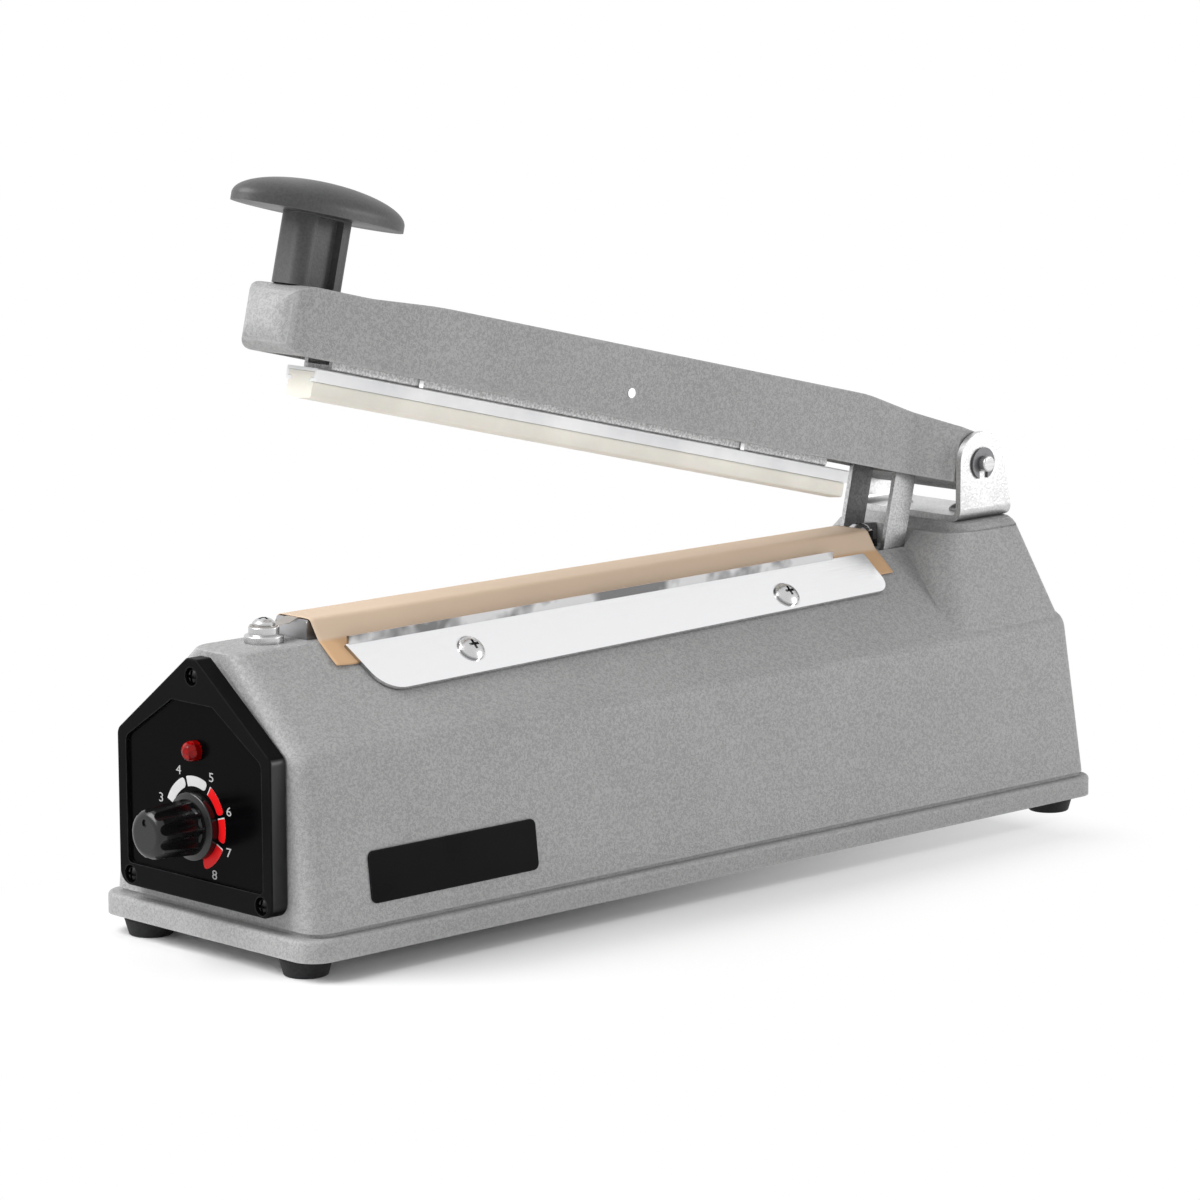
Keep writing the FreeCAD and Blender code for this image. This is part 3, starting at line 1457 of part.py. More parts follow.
def build_holder():
    body = new_body("strip_holder")
    half = "(holder_width / 2)"
    inner = "(holder_width / 2 - holder_wall)"
    mouth = "(holder_width / 2 - holder_wall - holder_lip)"
    high = "-" + HOLDER_TOP
    low = "-(%s + holder_height)" % HOLDER_TOP
    right = [
        (half, low),
        (half, high, "0.5"),
    ]
    left = [
        ("-" + half, high, "0.5"),
        ("-" + half, low),
        ("-" + mouth, low),
        ("-" + mouth, low + " + holder_wall"),
        ("-" + inner, low + " + holder_wall"),
        ("-" + inner, high + " - holder_wall"),
        (inner, high + " - holder_wall"),
        (inner, low + " + holder_wall"),
        (mouth, low + " + holder_wall"),
        (mouth, low),
    ]
    profile = outline(body, "holder_profile", "YZ_Plane", right + left, "-holder_front")
    pad(body, profile, "holder_front - holder_rear")
    return place_on_arm(body)


def build_strip():
    body = new_body("silicone_strip")
    head = "(holder_width / 2 - holder_wall - strip_fit)"
    neck = "(holder_width / 2 - holder_wall - holder_lip - strip_fit)"
    half = "(strip_width / 2)"
    roof = "-(%s + holder_wall + strip_fit)" % HOLDER_TOP
    shelf = "-(%s - holder_wall - strip_fit)" % STRIP_TOP
    top = "-(%s + strip_fit)" % STRIP_TOP
    low = "-" + STRIP_BOTTOM
    right = [
        (half, "%s + strip_crown" % low, "0.8"),
        (half, top),
        (neck, top),
        (neck, shelf),
        (head, shelf),
        (head, roof),
    ]
    left = [("-" + right_corner[0],) + right_corner[1:] for right_corner in reversed(right)]
    profile = outline(body, "strip_profile", "YZ_Plane",
                      [("0", low)] + right + left, "-holder_front")
    pad(body, profile, "holder_front - holder_rear")
    return place_on_arm(body)


keep(build_rail())
keep(build_rail_pin())
keep(build_clips())
keep(build_holder())
keep(build_strip())


# Handle: a fluted stem under a long domed cap

def build_handle():
    stem = new_body("handle_stem")
    section = outline(stem, "stem_section", "XY_Plane",
                      rectangle("-(handle_along + stem_length / 2)", "-(handle_along - stem_length / 2)",
                                "-stem_width / 2", "stem_width / 2", "stem_corner"), "arm_land")
    pad(stem, section, "stem_height + 1")
    flutes = new_sketch(stem, "stem_flutes", "XY_Plane", "arm_land")
    for sign in ("-", ""):
        add_outline(flutes, [
            ("-(handle_along + stem_flute_width / 2)", sign + "(stem_width / 2 - stem_flute)"),
            ("-(handle_along - stem_flute_width / 2)", sign + "(stem_width / 2 - stem_flute)"),
            ("-(handle_along - stem_flute_width / 2 - 1)", sign + "(stem_width / 2 + 1)"),
            ("-(handle_along + stem_flute_width / 2 + 1)", sign + "(stem_width / 2 + 1)"),
        ])
    pocket(stem, flutes, "stem_height - 0.5", back=True)
    bore = new_sketch(stem, "stem_bore", "XY_Plane", "arm_land")
    add_circle(bore, "-handle_along", "0", screw_hole)
    pocket(stem, bore, "handle_screw_length", back=True)
    parts = [stem]
    flat = "(90 deg - acos(cap_rim / (cap_length * 4)))"
    for label, low, high, tall, base in (
            ("cap_rim_part", "-(%s)" % flat, "0", "cap_length * 4", STEM_TOP + " + cap_rim"),
            ("cap_dome_part", "0", "90", "cap_dome", STEM_TOP + " + cap_rim")):
        cap = doc.addObject("Part::Ellipsoid", label)
        bind(cap, "Radius1", tall)
        bind(cap, "Radius2", "cap_length / 2")
        bind(cap, "Radius3", "cap_width / 2")
        bind(cap, "Angle1", low)
        bind(cap, "Angle2", high)
        cap.Placement.Base = FreeCAD.Vector(-value("handle_along"), 0, value(base))
        bind(cap, ".Placement.Base.x", "-handle_along")
        bind(cap, ".Placement.Base.z", base)
        parts.append(cap)
    handle = doc.addObject("Part::MultiFuse", "handle")
    handle.Label = "handle"
    handle.Shapes = parts
    handle.Refine = True
    return place_on_arm(handle)


keep(build_handle())
handle_screw = screw("handle_screw_part", "screw_head_radius", "screw_head_height", "handle_screw_length", cross=False)


def on_arm(label, source, along, height, flip):
    """Set a fastener that was drawn upright on the arm, head up or head down."""
    twin = doc.addObject("App::Link", label + "_copy")
    twin.LinkedObject = source
    turn = FreeCAD.Rotation(X_AXIS, 180 if flip else 0)
    twin.Placement = FreeCAD.Placement(FreeCAD.Vector(value(along), 0, value(height)), turn)
    bind(twin, ".Placement.Base.x", along)
    bind(twin, ".Placement.Base.z", height)
    return place_on_arm(compound(label, [twin]))


keep(on_arm("handle_screw", handle_screw, "-handle_along", "arm_land - arm_roof", True))


# Yoke: two legs that reach through the casting, joined by a crossbar below

def build_yoke():
    body = new_body("arm_yoke")
    low = "-(leg_along + leg_width / 2)"
    high = "-(leg_along - leg_width / 2)"
    leg = outline(body, "leg_side", "XZ_Plane", [
        (low, "-(leg_reach - 8)"),
        ("-(leg_along + leg_tip_radius)", "-(leg_reach + leg_tip_radius)", "leg_tip_radius * 0.9"),
        ("-(leg_along - leg_tip_radius)", "-(leg_reach + leg_tip_radius)", "leg_tip_radius * 0.9"),
        (high, "-(leg_reach - 8)"),
        (high, "leg_head"),
        (low, "leg_head"),
    ])
    pad(body, leg, "2 * leg_outer", both=True)
    gap = outline(body, "leg_gap", "YZ_Plane", [
        ("-" + LEG_INNER, "-(leg_reach + 10)"),
        (LEG_INNER, "-(leg_reach + 10)"),
        (LEG_INNER, "leg_head - leg_sheet", "1"),
        ("-" + LEG_INNER, "leg_head - leg_sheet", "1"),
    ], "-(leg_along + leg_width)")
    pocket(body, gap, "2 * leg_width", back=True)
    holes = new_sketch(body, "yoke_holes", "XZ_Plane")
    add_circle(holes, "-leg_along", "-crossbar_reach", "crossbar_radius + fit")
    pocket(body, holes, "2 * leg_outer + 2", both=True)
    tap = new_sketch(body, "yoke_tap", "XY_Plane", "leg_head + 1")
    add_circle(tap, "-leg_along", "0", screw_hole)
    pocket(body, tap, "leg_sheet + 3")
    return place_on_arm(body)


def build_crossbar():
    body = new_body("yoke_crossbar")
    mark = new_sketch(body, "crossbar_mark", "XZ_Plane")
    add_circle(mark, "-leg_along", "-crossbar_reach", "crossbar_radius")
    pad(body, mark, "2 * leg_outer + 0.6", both=True)
    return place_on_arm(body)


keep(build_yoke())
keep(build_crossbar())
yoke_screw = screw("yoke_screw_part", "screw_head_radius", "screw_head_height", "leg_sheet + 2.6", cross=False)
keep(on_arm("yoke_screw", yoke_screw, "-leg_along", "leg_head - leg_sheet", True))


# Return spring on its post

CROSSBAR_REST = "(pin_height + leg_along * sin(open_angle) - crossbar_reach * cos(open_angle) - crossbar_radius)"
SPRING_TOP = "(%s - spring_gap)" % CROSSBAR_REST


def build_spring():
    body = new_body("return_spring")
    wire = new_sketch(body, "wire", "XZ_Plane")
    add_circle(wire, "spring_radius", "spring_wire", "spring_wire")
    coil = body.newObject("PartDesign::AdditiveHelix", "coil")
    coil.Profile = wire
    coil.ReferenceAxis = (wire, ["V_Axis"])
    coil.Mode = "height-turns-angle"
    bind(coil, "Height", "%s - spring_seat - 2 * spring_wire" % SPRING_TOP)
    bind(coil, "Turns", "spring_turns")
    return place(body, "spring_along", "0", "spring_seat")


def build_post():
    body = new_body("spring_post")
    profile = outline(body, "post_profile", "XZ_Plane", [
        ("0", PLATE_TOP),
        ("post_foot_radius", PLATE_TOP),
        ("post_foot_radius", PLATE_TOP + " + 2"),
        ("post_radius", PLATE_TOP + " + 2", "1.5"),
        ("post_radius", "spring_seat - 2"),
        ("spring_radius + spring_wire + 0.6", "spring_seat - 2"),
        ("spring_radius + spring_wire + 0.6", "spring_seat - 0.05"),
        ("spring_radius - spring_wire - 0.5", "spring_seat - 0.05"),
        ("spring_radius - spring_wire - 0.5", "spring_seat + 9", "0.8"),
        ("0", "spring_seat + 9"),
    ])
    spin(body, "Revolution", profile, "V_Axis")
    return place(body, "spring_along")


keep(build_spring())
keep(build_post())


# Microswitch on its stand, with a lever and plunger that the yoke pushes

def build_switch():
    body = new_body("microswitch")
    case = outline(body, "switch_case", "XZ_Plane",
                   rectangle("switch_front", "switch_rear", "switch_top - switch_height", "switch_top", "0.8"),
                   "-lever_side")
    pad(body, case, "switch_width", both=True)
    ears = outline(body, "switch_ears", "XZ_Plane", [
        ("lever_along - 2.4", "switch_top - 1"),
        ("lever_along + 2.4", "switch_top - 1"),
        ("lever_along + 2.4", "lever_height + 1.6", "1.2"),
        ("lever_along - 2.4", "lever_height + 1.6", "1.2"),
    ], "-lever_side")
    pad(body, ears, "lever_width + 3", both=True)
    gap = outline(body, "ear_gap", "XZ_Plane",
                  rectangle("lever_along - 3", "lever_along + 3", "lever_height - lever_barrel - 0.3",
                            "lever_height + 4"), "-lever_side")
    pocket(body, gap, "lever_width + 0.4", both=True)
    holes = new_sketch(body, "switch_bores", "XZ_Plane", "-lever_side")
    add_circle(holes, "lever_along", "lever_height", "lever_pin + fit")
    pocket(body, holes, "switch_width + 2", both=True)
    taps = new_sketch(body, "switch_taps", "XZ_Plane", "-lever_side")
    for along in ("switch_front + 4", "switch_rear - 4"):
        add_circle(taps, along, "switch_top - switch_height + 4", "switch_screw_radius + fit")
    pocket(body, taps, "switch_width + 2", both=True)
    well = new_sketch(body, "plunger_well", "XY_Plane", "switch_top + 1")
    add_circle(well, "plunger_along", "lever_side", "plunger_radius + plunger_clearance")
    pocket(body, well, "plunger_length + 1")
    return place(body)


def build_lever():
    body = new_body("switch_lever")
    arm = outline(body, "lever_blade", "XZ_Plane", [
        ("1", "-lever_sheet / 2"),
        ("lever_length", "-lever_sheet / 2"),
        ("lever_length + 2", "lever_sheet"),
        ("lever_length + 2", "lever_sheet * 2"),
        ("lever_length", "lever_sheet / 2"),
        ("1", "lever_sheet / 2"),
    ])
    pad(body, arm, "lever_width", both=True)
    barrel = new_sketch(body, "lever_roll", "XZ_Plane")
    add_circle(barrel, "0", "0", "lever_barrel")
    pad(body, barrel, "lever_width", both=True)
    bore = new_sketch(body, "lever_bore", "XZ_Plane")
    add_circle(bore, "0", "0", "lever_pin + pin_clearance")
    pocket(body, bore, "lever_width + 2", both=True)
    return place(body, "lever_along", "lever_side", "lever_height", Y_AXIS, "-lever_angle")


def build_lever_pin():
    body = new_body("lever_pin")
    mark = new_sketch(body, "lever_pin_mark", "XZ_Plane")
    add_circle(mark, "0", "0", "lever_pin")
    pad(body, mark, "lever_width + 3", both=True)
    return place(body, "lever_along", "lever_side", "lever_height")


def build_plunger():
    body = new_body("switch_plunger")
    profile = outline(body, "plunger_profile", "XZ_Plane", [
        ("0", "-plunger_length"),
        ("plunger_radius", "-plunger_length"),
        ("plunger_radius", "0", "plunger_radius * 0.8"),
        ("0", "0"),
    ])
    spin(body, "Revolution", profile, "V_Axis")
    return place(body, "plunger_along", "lever_side", "plunger_top")


def build_stand():
    body = new_body("switch_stand")
    fold = outline(body, "stand_fold", "YZ_Plane", [
        (SWITCH_STAND, PLATE_TOP),
        ("%s + 14" % SWITCH_STAND, PLATE_TOP),
        ("%s + 14" % SWITCH_STAND, PLATE_TOP + " + stand_sheet"),
        ("%s + stand_sheet" % SWITCH_STAND, PLATE_TOP + " + stand_sheet", "1.5"),
        ("%s + stand_sheet" % SWITCH_STAND, "switch_top - 2"),
        (SWITCH_STAND, "switch_top - 2"),
    ], "switch_front")
    pad(body, fold, "switch_rear - switch_front")
    holes = new_sketch(body, "stand_holes", "XZ_Plane", "-%s" % SWITCH_STAND)
    for along in ("switch_front + 4", "switch_rear - 4"):
        add_circle(holes, along, "switch_top - switch_height + 4", "switch_screw_radius + fit")
    pocket(body, holes, "6", both=True)
    return place(body)


def build_switch_screws():
    body = new_body("switch_screws")
    low = "-(lever_side - switch_width / 2)"
    heads = new_sketch(body, "switch_screw_heads", "XZ_Plane", low)
    shanks = new_sketch(body, "switch_screw_shanks", "XZ_Plane", low)
    for along in ("switch_front + 4", "switch_rear - 4"):
        add_circle(heads, along, "switch_top - switch_height + 4", "switch_screw_radius * 2")
        add_circle(shanks, along, "switch_top - switch_height + 4", "switch_screw_radius")
    pad(body, heads, "1.6")
    pad(body, shanks, "switch_width + stand_sheet + 3", back=True)
    return place(body)


keep(build_switch())
keep(build_lever())
keep(build_lever_pin())
keep(build_plunger())
keep(build_stand())
keep(build_switch_screws())


# Transformer: a laminated core with its coil, strapped to the base plate

def build_core():
    body = new_body("transformer_core")
    left = "-(core_centre + core_length / 2)"
    right = "-(core_centre - core_length / 2)"
    block = outline(body, "core_block", "XZ_Plane",
                    rectangle(left, right, PLATE_TOP, PLATE_TOP + " + core_height"))
    pad(body, block, "core_depth", both=True)
    windows = new_sketch(body, "core_windows", "XZ_Plane")
    floor = PLATE_TOP + " + (core_height - window_height) / 2"
    for start, stop in (("-(core_centre + limb_width / 2 + window_width)", "-(core_centre + limb_width / 2)"),
                        ("-(core_centre - limb_width / 2)", "-(core_centre - limb_width / 2 - window_width)")):
        add_outline(windows, rectangle(start, stop, floor, floor + " + window_height"))
    pocket(body, windows, "core_depth + 2", both=True)
    return place(body)


def build_coil():
    body = new_body("transformer_coil")
    floor = PLATE_TOP + " + (core_height - window_height) / 2 + coil_gap"
    ring = new_sketch(body, "coil_ring", "XY_Plane", floor)
    reach = "(limb_width / 2 + window_width - coil_gap)"
    hole = "(limb_width / 2 + coil_gap)"
    add_outline(ring, rectangle("-(core_centre + %s)" % reach, "-(core_centre - %s)" % reach,
                                "-coil_depth / 2", "coil_depth / 2", "5"))
    add_outline(ring, rectangle("-(core_centre + %s)" % hole, "-(core_centre - %s)" % hole,
                                "-(core_depth / 2 + coil_gap)", "core_depth / 2 + coil_gap"))
    pad(body, ring, "window_height - 2 * coil_gap")
    return place(body)


def build_frame():
    body = new_body("transformer_strap")
    inner_left = "-(core_centre + core_length / 2 + coil_gap)"
    inner_right = "-(core_centre - core_length / 2 - coil_gap)"
    top = "(%s + core_height + coil_gap)" % PLATE_TOP
    strap = outline(body, "strap_side", "XZ_Plane", [
        (inner_left, PLATE_TOP),
        (inner_left, top),
        (inner_right, top),
        (inner_right, PLATE_TOP),
        (inner_right + " + frame_foot", PLATE_TOP),
        (inner_right + " + frame_foot", PLATE_TOP + " + frame_sheet"),
        (inner_right + " + frame_sheet", PLATE_TOP + " + frame_sheet"),
        (inner_right + " + frame_sheet", top + " + frame_sheet", "2"),
        (inner_left + " - frame_sheet", top + " + frame_sheet", "2"),
        (inner_left + " - frame_sheet", PLATE_TOP + " + frame_sheet"),
        (inner_left + " - frame_foot", PLATE_TOP + " + frame_sheet"),
        (inner_left + " - frame_foot", PLATE_TOP),
    ])
    pad(body, strap, "core_depth - 4", both=True)
    return place(body)


keep(build_core())
keep(build_coil())
keep(build_frame())


# Timer board on four standoffs, with its relay and capacitor

def build_board():
    body = new_body("timer_board")
    board = outline(body, "board_edge", "XY_Plane",
                    rectangle("-board_front", "-board_rear", "-board_width / 2", "board_width / 2", "1"),
                    "board_height")
    pad(body, board, "board_sheet")
    return place(body)


def build_relay():
    body = new_body("board_relay")
    case = outline(body, "relay_case", "XY_Plane",
                   rectangle("-relay_front", "-(relay_front - relay_length)",
                             "-relay_side", "-(relay_side - relay_width)", "0.8"),
                   "board_height + board_sheet")
    pad(body, case, "relay_height")
    return place(body)


def build_capacitor():
    body = new_body("board_capacitor")
    can = new_sketch(body, "capacitor_can", "XY_Plane", "board_height + board_sheet")
    add_circle(can, "-capacitor_along", "capacitor_side", "capacitor_radius")
    pad(body, can, "capacitor_height")
    return place(body)


keep(build_board())
keep(build_relay())
keep(build_capacitor())
standoff = cylinder("standoff", "standoff_radius", "board_height - %s" % PLATE_TOP)
keep(copies("board_standoffs", standoff, [
    (along, side, PLATE_TOP)
    for along in ("-(board_front - standoff_inset)", "-(board_rear + standoff_inset)")
    for side in ("-(board_width / 2 - standoff_inset)", "board_width / 2 - standoff_inset")
]))


doc.recompute()
for item in doc.Objects:
    if "Invalid" in item.State or "Error" in item.State:
        raise RuntimeError("%s did not build: %s" % (item.Label, item.State))
os.makedirs("parts", exist_ok=True)
for piece in nodes:
    if piece.Shape.isNull() or not piece.Shape.isValid():
        raise RuntimeError("%s has no valid shape" % piece.Label)
for piece in nodes:
    piece.Shape.exportStep("parts/%s.step" % piece.Label)
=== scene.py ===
import math

import bmesh
import bpy
from bpy.props import FloatProperty, FloatVectorProperty, PointerProperty
from mathutils import Matrix, Vector, noise


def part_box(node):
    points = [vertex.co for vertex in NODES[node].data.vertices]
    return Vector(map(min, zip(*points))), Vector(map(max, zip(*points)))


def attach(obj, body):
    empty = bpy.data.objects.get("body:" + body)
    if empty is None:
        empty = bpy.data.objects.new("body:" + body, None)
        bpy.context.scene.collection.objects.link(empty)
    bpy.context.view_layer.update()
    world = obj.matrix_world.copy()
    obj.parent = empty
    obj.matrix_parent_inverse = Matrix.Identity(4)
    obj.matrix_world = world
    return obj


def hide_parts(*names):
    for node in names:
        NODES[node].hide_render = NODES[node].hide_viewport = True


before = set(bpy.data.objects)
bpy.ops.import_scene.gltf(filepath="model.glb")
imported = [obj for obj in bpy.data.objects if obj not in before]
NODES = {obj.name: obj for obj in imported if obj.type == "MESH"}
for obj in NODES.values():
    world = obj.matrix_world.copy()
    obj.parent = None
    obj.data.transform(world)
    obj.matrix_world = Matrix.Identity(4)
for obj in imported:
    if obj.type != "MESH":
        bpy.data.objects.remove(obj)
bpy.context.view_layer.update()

bl_info = {
    "name": "Impulse sealer",
    "version": (1, 0, 0),
    "blender": (4, 5, 0),
    "location": "3D View > Sidebar > Sealer",
    "description": "Finishes, dial and studio of a hand impulse sealer",
    "category": "Object",
}


# Settings that a user would change

def length(name, description, default):
    return FloatProperty(name=name, description=description, default=default, unit="LENGTH", precision=5)


def colour(name, description, default):
    return FloatVectorProperty(name=name, description=description, default=default, subtype="COLOR",
                               size=3, min=0.0, max=1.0)


def spot(name, description, default):
    return FloatVectorProperty(name=name, description=description, default=default,
                               subtype="TRANSLATION", unit="LENGTH", size=3)


def amount(name, description, default, top=10.0):
    return FloatProperty(name=name, description=description, default=default, min=0.0, max=top)


def angle(name, description, degrees):
    return FloatProperty(name=name, description=description, default=math.radians(degrees),
                         subtype="ANGLE")


class SealerSizes(bpy.types.PropertyGroup):
    """Sizes of the pieces that are made here."""

    recess_depth: length("Recess depth", "How far the panel's face lies behind its rim", 0.0013)
    panel_rim: length("Panel rim", "Width of the rim beside the panel's recess", 0.004)
    face_foot: length("Face foot", "Height of the recess's foot above the floor", 0.0232)
    face_eave: length("Face eave", "Height at which the recess's sides start to close in", 0.0594)
    face_top: length("Face top", "Height of the recess's top", 0.0726)
    face_top_width: length("Face top width", "Width of the recess's top", 0.0177)
    face_gap: length("Face gap", "Gap between the printed face and the recess's edge", 0.0003)
    face_thickness: length("Face thickness", "Thickness of the printed face", 0.0003)
    nut_clearance: length("Nut clearance", "Radius of the face's hole round the timer's nut", 0.0062)
    lamp_clearance: length("Lamp clearance", "Radius of the face's hole round the lamp", 0.0031)
    face_corner: length("Face corner", "Radius of the printed face's lower corners", 0.0013)
    eave_corner: length("Eave corner", "Radius of the printed face's corners at the eaves", 0.0022)
    top_corner: length("Top corner", "Radius of the printed face's upper corners", 0.0009)
    print_thickness: length("Print thickness", "How far the dial's marks stand proud", 0.00006)
    ring_inner: length("Ring inner radius", "Inner radius of the dial's segments", 0.0103)
    ring_outer: length("Ring outer radius", "Outer radius of the dial's segments", 0.0132)
    ring_shift: length("Ring shift", "How far the print sits to the side of the knob's axis", -0.0005)
    ring_lift: length("Ring lift", "How far the print sits above the knob's axis", 0.0007)
    digit_radius: length("Digit radius", "Distance of the digits from the knob's axis", 0.0157)
    digit_height: length("Digit height", "Height of the dial's digits", 0.0026)
    arm_lean: angle("Arm lean", "The raised arm's angle above the level", 13.4)
    arm_reach: length("Arm reach", "From the hinge pin to the arm's end", 0.279)
    arm_foot: length("Arm foot", "From the hinge pin down to the arm's lower edge", 0.0073)
    foot_wall: length("Foot wall", "Thickness of the foot of the arm's head", 0.0018)
    arm_half: length("Arm half width", "Half the arm's width at its head", 0.012)
    head_round: length("Head rounding", "Radius of the edges of the arm's head", 0.0085)
    head_wall: length("Head wall", "Thickness of the wall at the arm's end", 0.0026)
    side_wall: length("Side wall", "Thickness of the arm's side walls", 0.002)
    inner_round: length("Inner rounding", "Radius of the head's inner corners", 0.004)
    corner_foot: length("Corner foot", "Lower end of the head's inner corners, from the pin", -0.0049)
    corner_top: length("Corner top", "Upper end of the head's inner corners, from the pin", 0.00938)
    cloth_thickness: length("Cloth thickness", "Thickness of the coated glass cloth", 0.00016)
    cloth_slack: length("Cloth slack", "How far the cloth sinks beside the heating band", 0.00008)
    cloth_lift: length("Cloth lift", "How far the cloth's loose ends lift", 0.0005)
    bed_half: length("Bed half width", "Where the cloth folds over the bed's edge", 0.00668)
    brink_half: length("Brink half width", "Where the cloth meets the roof", 0.01046)
    brink_height: length("Brink height", "Height at which the cloth meets the roof", 0.0866)


class SealerColours(bpy.types.PropertyGroup):
    """Colours of the finishes."""

    paint: colour("Paint", "Grey enamel of the castings", (0.355, 0.355, 0.355))
    moulding: colour("Moulding", "Black moulded plastic", (0.0022, 0.0022, 0.0024))
    gloss_face: colour("Gloss face", "Printed face of the panel", (0.0013, 0.0013, 0.0016))
    knob: colour("Knob", "Glossy black knob", (0.004, 0.004, 0.0045))
    handle: colour("Handle", "Dark grey handle", (0.058, 0.058, 0.059))
    lens: colour("Lens", "Red lamp lens", (0.30, 0.0004, 0.0006))
    rubber: colour("Rubber", "Black rubber", (0.020, 0.020, 0.021))
    bright: colour("Bright steel", "Plated steel", (0.86, 0.86, 0.87))
    zinc: colour("Zinc", "Zinc plated steel", (0.58, 0.58, 0.585))
    galvanised: colour("Galvanised sheet", "Dull galvanised sheet", (0.3828, 0.3828, 0.3861))
    bracket: colour("Bracket", "Plated bracket", (0.60, 0.60, 0.60))
    dark_steel: colour("Dark steel", "Spring steel", (0.16, 0.16, 0.165))
    black_steel: colour("Black steel", "Blackened screws", (0.024, 0.024, 0.02475))
    rail: colour("Rail", "Extruded aluminium", (0.80, 0.80, 0.80))
    bed: colour("Bed", "Aluminium bed bar", (0.48, 0.48, 0.49))
    holder: colour("Holder", "White channel", (0.90, 0.905, 0.925))
    silicone: colour("Silicone", "Cream silicone strip", (0.84, 0.81, 0.73))
    cloth: colour("Glass cloth", "Coated glass cloth", (0.66, 0.42, 0.235))
    # The cloth's paler colour on the ridge is a painted sheen.
    cloth_top: colour("Cloth on the ridge", "Paler cloth along the ridge", (0.70, 0.54, 0.40))
    band: colour("Band", "Nickel chrome band", (0.42, 0.39, 0.36))
    brass: colour("Brass", "Plain brass", (0.68, 0.47, 0.19))
    board: colour("Board", "Circuit board", (0.03, 0.16, 0.06))
    core: colour("Core", "Varnished iron laminations", (0.09, 0.09, 0.10))
    tape: colour("Tape", "Tape round the coil", (0.55, 0.40, 0.10))
    label: colour("Label", "Side label", (0.0035, 0.0035, 0.0038))
    print_pale: colour("Pale print", "Pale segments of the dial", (0.62, 0.62, 0.62))
    print_red: colour("Red print", "Red segments of the dial", (0.72, 0.006, 0.008))
    digits: colour("Digits", "Digits of the dial", (0.42, 0.42, 0.42))


class StudioSettings(bpy.types.PropertyGroup):
    """Camera, lamps and backdrop."""

    azimuth: angle("Azimuth", "Camera's turn from the sealer's near side", 43.48)
    elevation: angle("Elevation", "Camera's height above the horizon", 9.675)
    roll: angle("Roll", "Camera's turn about its own axis", -0.319)
    distance: length("Distance", "Camera's distance from its target", 1.51987)
    target_side: length("Target side", "Target's place to the right of the frame's middle", -0.006965)
    target_height: length("Target height", "Target's place above the frame's origin", 0.080328)
    target_shift: length("Target shift", "Target's place along the sealer", 0.00725)
    lens: FloatProperty(name="Lens", description="Focal length for a 36 mm sensor", default=152.1,
                        unit="CAMERA")
    world: amount("World", "Brightness of the surroundings", 0.45)
    key: amount("Key lamp", "Power of the lamp above the control end, in watts", 16.5, 1000.0)
    key_size: length("Key lamp size", "Width of the key lamp", 0.9)
    key_place: spot("Key lamp place", "Where the key lamp stands", (-0.85, 0.36, 0.95))
    side: amount("Side lamp", "Power of the low lamp by the hinge end, in watts", 3.6, 1000.0)
    side_size: length("Side lamp size", "Width of the side lamp", 0.32)
    side_place: spot("Side lamp place", "Where the side lamp stands", (0.80, -0.82, 0.27))
    lamp_target: length("Lamp target", "Height of the point that the lamps face", 0.09)
    floor: amount("Floor", "Brightness of the floor's colour", 0.94, 1.0)
    shade_along: length("Shade along", "Shift of the shaded floor toward the hinge end", -0.035)
    shade_side: length("Shade side", "Shift of the shaded floor toward the far side", -0.016)
    fade_slope: amount("Fade slope", "How much sooner the floor turns white toward the hinge end", 0.16)
    white_from: length("White from", "Distance from the sealer at which the floor starts to fade", 0.012)
    white_at: length("White at", "Distance from the sealer at which the floor is plain white", 0.080)


# Shader trees

def plug(tree, socket, source):
    """Links a socket to a source, or sets its value."""
    if isinstance(source, bpy.types.NodeSocket):
        tree.links.new(source, socket)
    else:
        socket.default_value = source


def add_node(tree, kind, inputs=None, **settings):
    """Adds a shader node, sets it up, and links or fills its inputs."""
    node = tree.nodes.new("ShaderNode" + kind)
    for name, setting in settings.items():
        setattr(node, name, setting)
    for name, source in (inputs or {}).items():
        plug(tree, node.inputs[name], source)
    return node


def maths(tree, operation, first, second=0.0, third=0.0):
    """The result of one Math node."""
    return add_node(tree, "Math", {0: first, 1: second, 2: third}, operation=operation).outputs[0]


def stretch(tree, value, low, high, to_low=0.0, to_high=1.0, smooth=False):
    """Maps a value from one span to another, held inside it."""
    node = add_node(tree, "MapRange", {0: value, 1: low, 2: high, 3: to_low, 4: to_high})
    if smooth:
        node.interpolation_type = "SMOOTHSTEP"
    return node.outputs[0]


def mix_colour(tree, share, first, second):
    """Goes from the first colour to the second as the share goes from 0 to 1."""
    node = add_node(tree, "Mix", data_type="RGBA")
    for place, source in ((0, share), (6, first), (7, second)):
        plug(tree, node.inputs[place], source)
    return node.outputs[2]


def tint(rgb, factor=1.0):
    """A colour with its alpha, made lighter or darker."""
    return tuple(min(1.0, part * factor) for part in rgb) + (1.0,)


def shades(tree, share, rgb, first, second):
    """Goes from one shade of a colour to another."""
    return mix_colour(tree, share, tint(rgb, first), tint(rgb, second))


def new_group(name, gives, **takes):
    """A shader node group with its number sockets, and its first and last node."""
    tree = bpy.data.node_groups.new(name, "ShaderNodeTree")
    for label, default in takes.items():
        socket = tree.interface.new_socket(label.replace("_", " "), in_out="INPUT",
                                           socket_type="NodeSocketFloat")
        socket.default_value = default
    for label in gives:
        tree.interface.new_socket(label, in_out="OUTPUT", socket_type="NodeSocketFloat")
    return tree, tree.nodes.new("NodeGroupInput"), tree.nodes.new("NodeGroupOutput")


